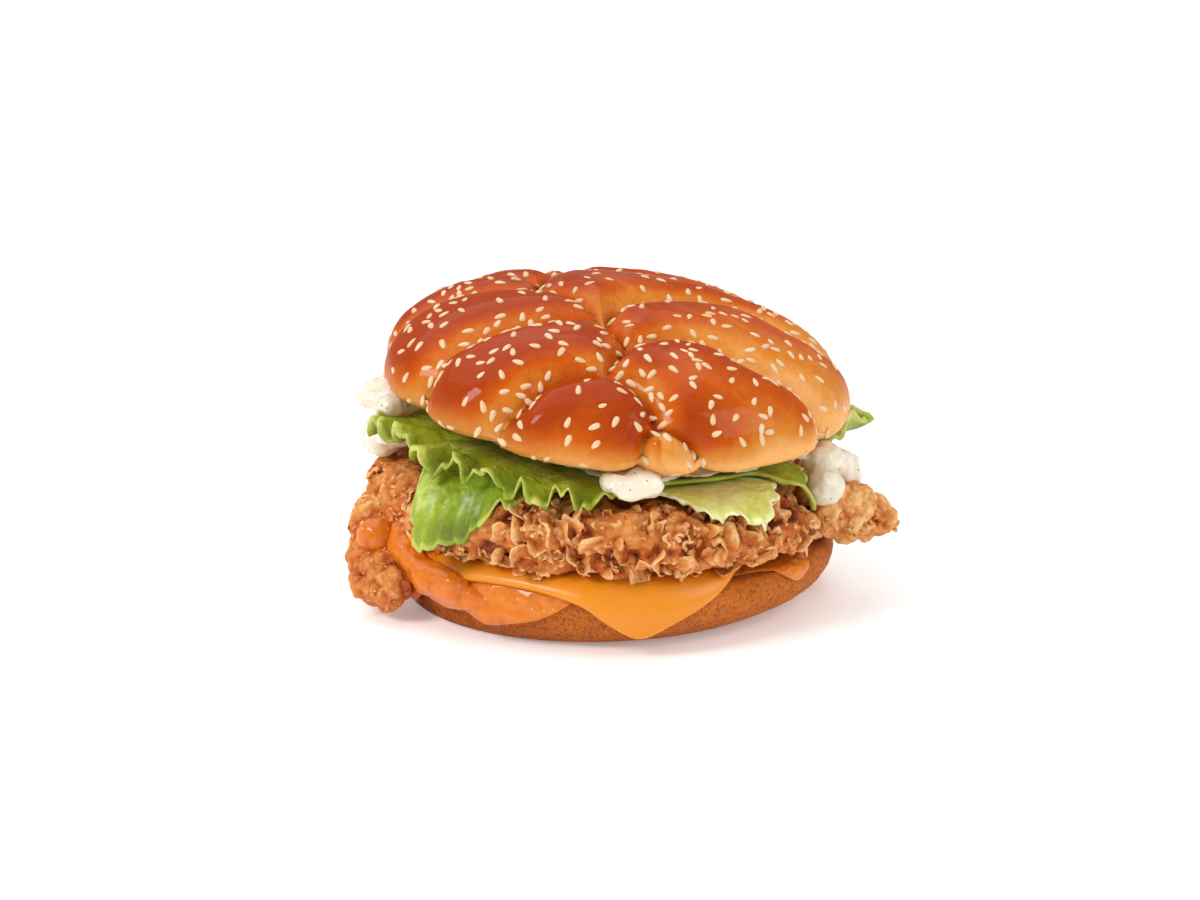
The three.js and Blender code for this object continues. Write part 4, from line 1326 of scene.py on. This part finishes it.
def leaf_point(leaf, angle, fraction, offset):
    """A leaf's points at a share of its reach, with how far each one swings up as a fourth number."""
    reach = LEAF["hidden"] + lobed(angle, [lobe[:3] for lobe in leaf["lobes"]])
    show = np.maximum(0.01, reach - LEAF["flat"])
    along = np.maximum(0, reach * fraction - LEAF["flat"])
    curl = np.radians(lobed(angle, [(*lobe[:2], lobe[3]) for lobe in leaf["lobes"]])) / show
    curl = np.where(np.abs(curl) < 1e-4, 1e-4, curl)
    count, phase, size = leaf["waves"]
    around = np.radians(angle)
    swing = np.sin(around * count + phase) + 0.4 * np.sin(around * count * 0.43)
    swing = swing * np.minimum(1, along / LEAF["ruffles_from"]) ** 1.4
    rim = np.minimum(1, along / LEAF["crinkles_from"]) * np.minimum(1, along / show) ** 4
    rim = rim * sizes().leaf_ruffle
    crinkle = np.sin(around * count * 2.3 + 1.7 * np.sin(around * 7))
    crinkle = crinkle + 0.6 * np.sin(around * 97 + 3 * np.sin(around * 11))
    wave = size * swing + LEAF["crinkle"] * crinkle * rim
    notches = LEAF["notch"] * np.sin(around * 43 + 2.6 * np.sin(around * 9))
    along = along + rim * (notches + LEAF["nick"] * np.sin(around * 131))
    turn = curl * along
    out = np.sin(turn) / curl
    drop = (1 - np.cos(turn)) / curl
    radius = np.minimum(reach * fraction, LEAF["flat"]) + out + (wave + offset) * np.sin(turn)
    point = polar(angle, radius, 0.0)
    point[..., 2] = leaf["height"] + lean(point) - drop + (wave + offset) * np.cos(turn)
    return np.concatenate([point, np.broadcast_to(wave, point.shape[:-1])[..., None]], axis=-1)


def leaf_finish(name, pale):
    """Crisp leaf flesh: pale ribs that branch towards a greener, crinkled rim, with painted shade in the
    valleys of its folds and painted light on their crests.
    """
    finish = Finish(name)
    along, around, fold = finish.value("along"), finish.value("around"), finish.value("fold")
    drift = finish.noise(11, 2) * 7 + finish.noise(3.5, 2) * 1.6
    ribs = finish.wave(around * 0.2 + drift) ** 12
    twigs = finish.wave(around * 0.9 + along * 5 + finish.noise(5, 3) * 14) ** 8 * 0.5
    tone = along * 0.35 + finish.noise(9, 3) * 1.1 + finish.noise(1.8, 4) * 0.3 - 0.36
    # Painted shade and light: fold darkens the valleys of the leaf's waves and lightens their crests
    tone = tone - ribs * 0.3 - twigs * 0.2 - fold * 0.14 - along.step(0.955, 0.998) * 0.5
    family, places = ("heart", (0, 0.7, 1)) if pale else ("leaf", (0, 0.36, 0.95))
    stops = [(place, shade(f"{family}_{end}")) for place, end in zip(places, ("pale", "mid", "dark"))]
    return finish.surface(
        base_color=finish.ramp(tone, stops),
        roughness=0.26 + finish.noise(3) * 0.22,
        specular_ior_level=0.3,
        coat_weight=0.22,
        coat_roughness=0.18,
        subsurface_weight=0.12,
        normal=finish.bump(
            (finish.noise(6, 2), 1.6), (ribs, 0.4), (twigs, 0.16), (finish.noise(1.8, 3), 0.3)
        ),
    )


class BURGER_OT_lettuce(bpy.types.Operator):
    """Adds the three lettuce leaves"""

    bl_idname = "burger.lettuce"
    bl_label = "Lettuce leaves"

    def execute(self, context):
        angles = full_turn(STEPS_ROUND["leaf"]) - 180
        fractions = np.concatenate([[0.4, 0.7], np.linspace(0.76, 1, 21)])
        green, pale = leaf_finish("green_leaf", False), leaf_finish("pale_leaf", True)
        for name, leaf in LEAVES.items():
            upper = [leaf_point(leaf, angles, f, LEAF["thickness"]) for f in fractions]
            lower = [leaf_point(leaf, angles, f, 0) for f in fractions][::-1]
            middle = np.zeros(1)
            rings = np.stack(upper + lower)
            points = ring_points(
                leaf_point(leaf, middle, 0, LEAF["thickness"])[0, :3],
                rings[..., :3],
                leaf_point(leaf, middle, 0, 0)[0, :3],
            )
            # The waves' heights, which the leaf finish turns into painted shade and light on the folds
            fold = np.concatenate([[0], rings[..., 3].ravel(), [0]])
            rows = 2 * len(fractions)
            share = np.concatenate([fractions, fractions[::-1]])
            along = np.concatenate([[0], np.repeat(smoothstep(share, 0.78, 1.0), len(angles)), [0]])
            around = np.concatenate([[0], np.tile(angles, rows), [0]])
            pale_one = name == "lettuce_pale_leaf"
            piece = add_piece(
                name.replace("lettuce_", "") + "_lettuce",
                points,
                ring_faces(rows, len(angles)),
                pale if pale_one else green,
                {"along": along, "around": around, "fold": fold},
            )
            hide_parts(name)
        return {"FINISHED"}


# Mayonnaise


def mayo_layer():
    """The thin layer under the crown, with its lobes."""
    angles = full_turn(STEPS_ROUND["mayonnaise"])
    reach = MAYO["radius"] + lobed(angles, MAYO_LOBES)
    middle, half = (MAYO["top"] + MAYO["bottom"]) / 2, (MAYO["top"] - MAYO["bottom"]) / 2
    rings = []
    for fraction, offset in MAYO_RIM:
        ring = polar(angles, reach * fraction, 0.0)
        ring[:, 2] = middle + lean(ring) + offset * half
        rings.append(ring)
    first, last = (0, 0, MAYO["top"]), (0, 0, MAYO["bottom"])
    return ring_points(first, np.stack(rings), last), ring_faces(len(rings), len(angles))


def pepper_mayonnaise():
    """Glossy cream with pepper specks."""
    finish = Finish("mayonnaise")
    tone = finish.noise(4, 3).step(0.3, 0.8)
    base = finish.mix(tone * 0.6, shade("mayonnaise"), shade("mayo_warm"))
    pepper = finish.cells(2.6).step(0.13, 0.07) * 0.8
    return finish.surface(
        base_color=finish.mix(pepper, base, shade("pepper")),
        roughness=0.16 + finish.noise(3) * 0.16,
        coat_weight=0.4,
        coat_roughness=0.08,
        subsurface_weight=0.2,
        normal=finish.bump((finish.noise(4, 3), 0.6), (finish.noise(1.4, 3), 0.14)),
    )


class BURGER_OT_mayonnaise(bpy.types.Operator):
    """Adds the mayonnaise under the crown and its dollops"""

    bl_idname = "burger.mayonnaise"
    bl_label = "Mayonnaise"

    def execute(self, context):
        material = pepper_mayonnaise()
        groups = [
            ("mayo_under_crown", [mayo_layer()], MAYO_BLOBS, "mayonnaise_layer"),
            ("mayo_dollop", [], MAYO_LEFT_BLOBS, "mayonnaise_dollop"),
        ]
        for name, bodies, blobs, node in groups:
            bodies = bodies + [ball(at, size) for at, size in blobs]
            points, normals, faces = fused(bodies, MAYO["voxel"], MAYO["smoothing"])
            swirl = MAYO["swirl"] * lumps(points, 3.6) - MAYO["dent"] * abs(lumps(points, 2.4))
            points = points + normals * (swirl + MAYO["raised"])[:, None]
            piece = add_piece(name, points, faces, material)
            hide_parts(node)
        return {"FINISHED"}


# The stage: floor, lights and camera


def look_at(piece, target):
    """Turns a light or camera to a target."""
    piece.rotation_euler = (Vector(target) - piece.location).to_track_quat("-Z", "Y").to_euler()


def add_light(name, kind, place, target, power):
    """Adds a light that shines on a target, and returns its settings."""
    lamp = bpy.data.lights.new(name, kind)
    lamp.energy = power
    light = add_object(name, lamp)
    light.location = place
    look_at(light, target)
    return lamp


def pale_floor():
    """A plain floor that glows a little, so that it stays white."""
    finish = Finish("pale_floor")
    tone = finish.noise(300, 2) * 0.5
    return finish.surface(
        base_color=finish.mix(tone, (0.93, 0.93, 0.93), (0.96, 0.96, 0.96)),
        roughness=0.5 + finish.noise(40) * 0.05,
        emission_color=(1, 1, 1),
        emission_strength=FLOOR["glow"],
    )


class BURGER_OT_stage(bpy.types.Operator):
    """Sets the pale floor, the soft lights and the camera"""

    bl_idname = "burger.stage"
    bl_label = "Floor, lights and camera"

    def execute(self, context):
        bpy.ops.mesh.primitive_plane_add(size=FLOOR["size"], location=(0, 0, 0))
        floor = context.object
        floor.name = "floor"
        floor.data.materials.append(pale_floor())

        context.scene.view_settings.view_transform = "Standard"
        world = bpy.data.worlds.new("studio")
        context.scene.world = world
        world.use_nodes = True
        background = next(n for n in world.node_tree.nodes if n.type == "BACKGROUND")
        background.inputs["Color"].default_value = (1, 1, 1, 1)
        background.inputs["Strength"].default_value = WORLD_STRENGTH

        for name, box in SOFTBOXES.items():
            lamp = add_light(name, "AREA", box["at"], (AXIS[0], AXIS[1], LIT_HEIGHT), box["power"])
            lamp.shape = "RECTANGLE"
            lamp.size, lamp.size_y = box["size"]
        sun = add_light("soft_daylight", "SUN", DAYLIGHT["at"], (0, 0, 0), DAYLIGHT["power"])
        sun.angle = math.radians(DAYLIGHT["spread"])

        camera = bpy.data.cameras.new("camera")
        camera.lens = CAMERA["lens"]
        camera.sensor_width = CAMERA["sensor"]
        holder = add_object("camera", camera)
        target = Vector(AXIS) + Vector(CAMERA["target"]) * MM
        rise = math.radians(CAMERA["rise"])
        holder.location = target + Vector((0, -math.cos(rise), math.sin(rise))) * CAMERA["distance"]
        look_at(holder, target)
        context.scene.camera = holder
        return {"FINISHED"}


STEPS = (
    BURGER_OT_heel,
    BURGER_OT_sauce,
    BURGER_OT_cheese,
    BURGER_OT_fillet,
    BURGER_OT_lettuce,
    BURGER_OT_mayonnaise,
    BURGER_OT_crown,
    BURGER_OT_seeds,
    BURGER_OT_stage,
)


class BURGER_PT_panel(bpy.types.Panel):
    """Lists the burger's pieces, sizes and colours"""

    bl_idname = "BURGER_PT_panel"
    bl_label = "Chicken burger"
    bl_space_type = "VIEW_3D"
    bl_region_type = "UI"
    bl_category = "Burger"

    def draw(self, context):
        for group in (context.scene.burger_sizes, context.scene.burger_colours):
            column = self.layout.column()
            for key in group.bl_rna.properties.keys():
                if key not in {"rna_type", "name"}:
                    column.prop(group, key)
        for step in STEPS:
            self.layout.operator(step.bl_idname)


CLASSES = (BurgerSizes, BurgerColours, *STEPS, BURGER_PT_panel)


def register():
    for kind in CLASSES:
        bpy.utils.register_class(kind)
    bpy.types.Scene.burger_sizes = PointerProperty(type=BurgerSizes)
    bpy.types.Scene.burger_colours = PointerProperty(type=BurgerColours)


def unregister():
    del bpy.types.Scene.burger_colours
    del bpy.types.Scene.burger_sizes
    for kind in reversed(CLASSES):
        bpy.utils.unregister_class(kind)


def main():
    register()
    for step in STEPS:
        group, name = step.bl_idname.split(".")
        getattr(getattr(bpy.ops, group), name)()


if __name__ == "__main__":
    main()
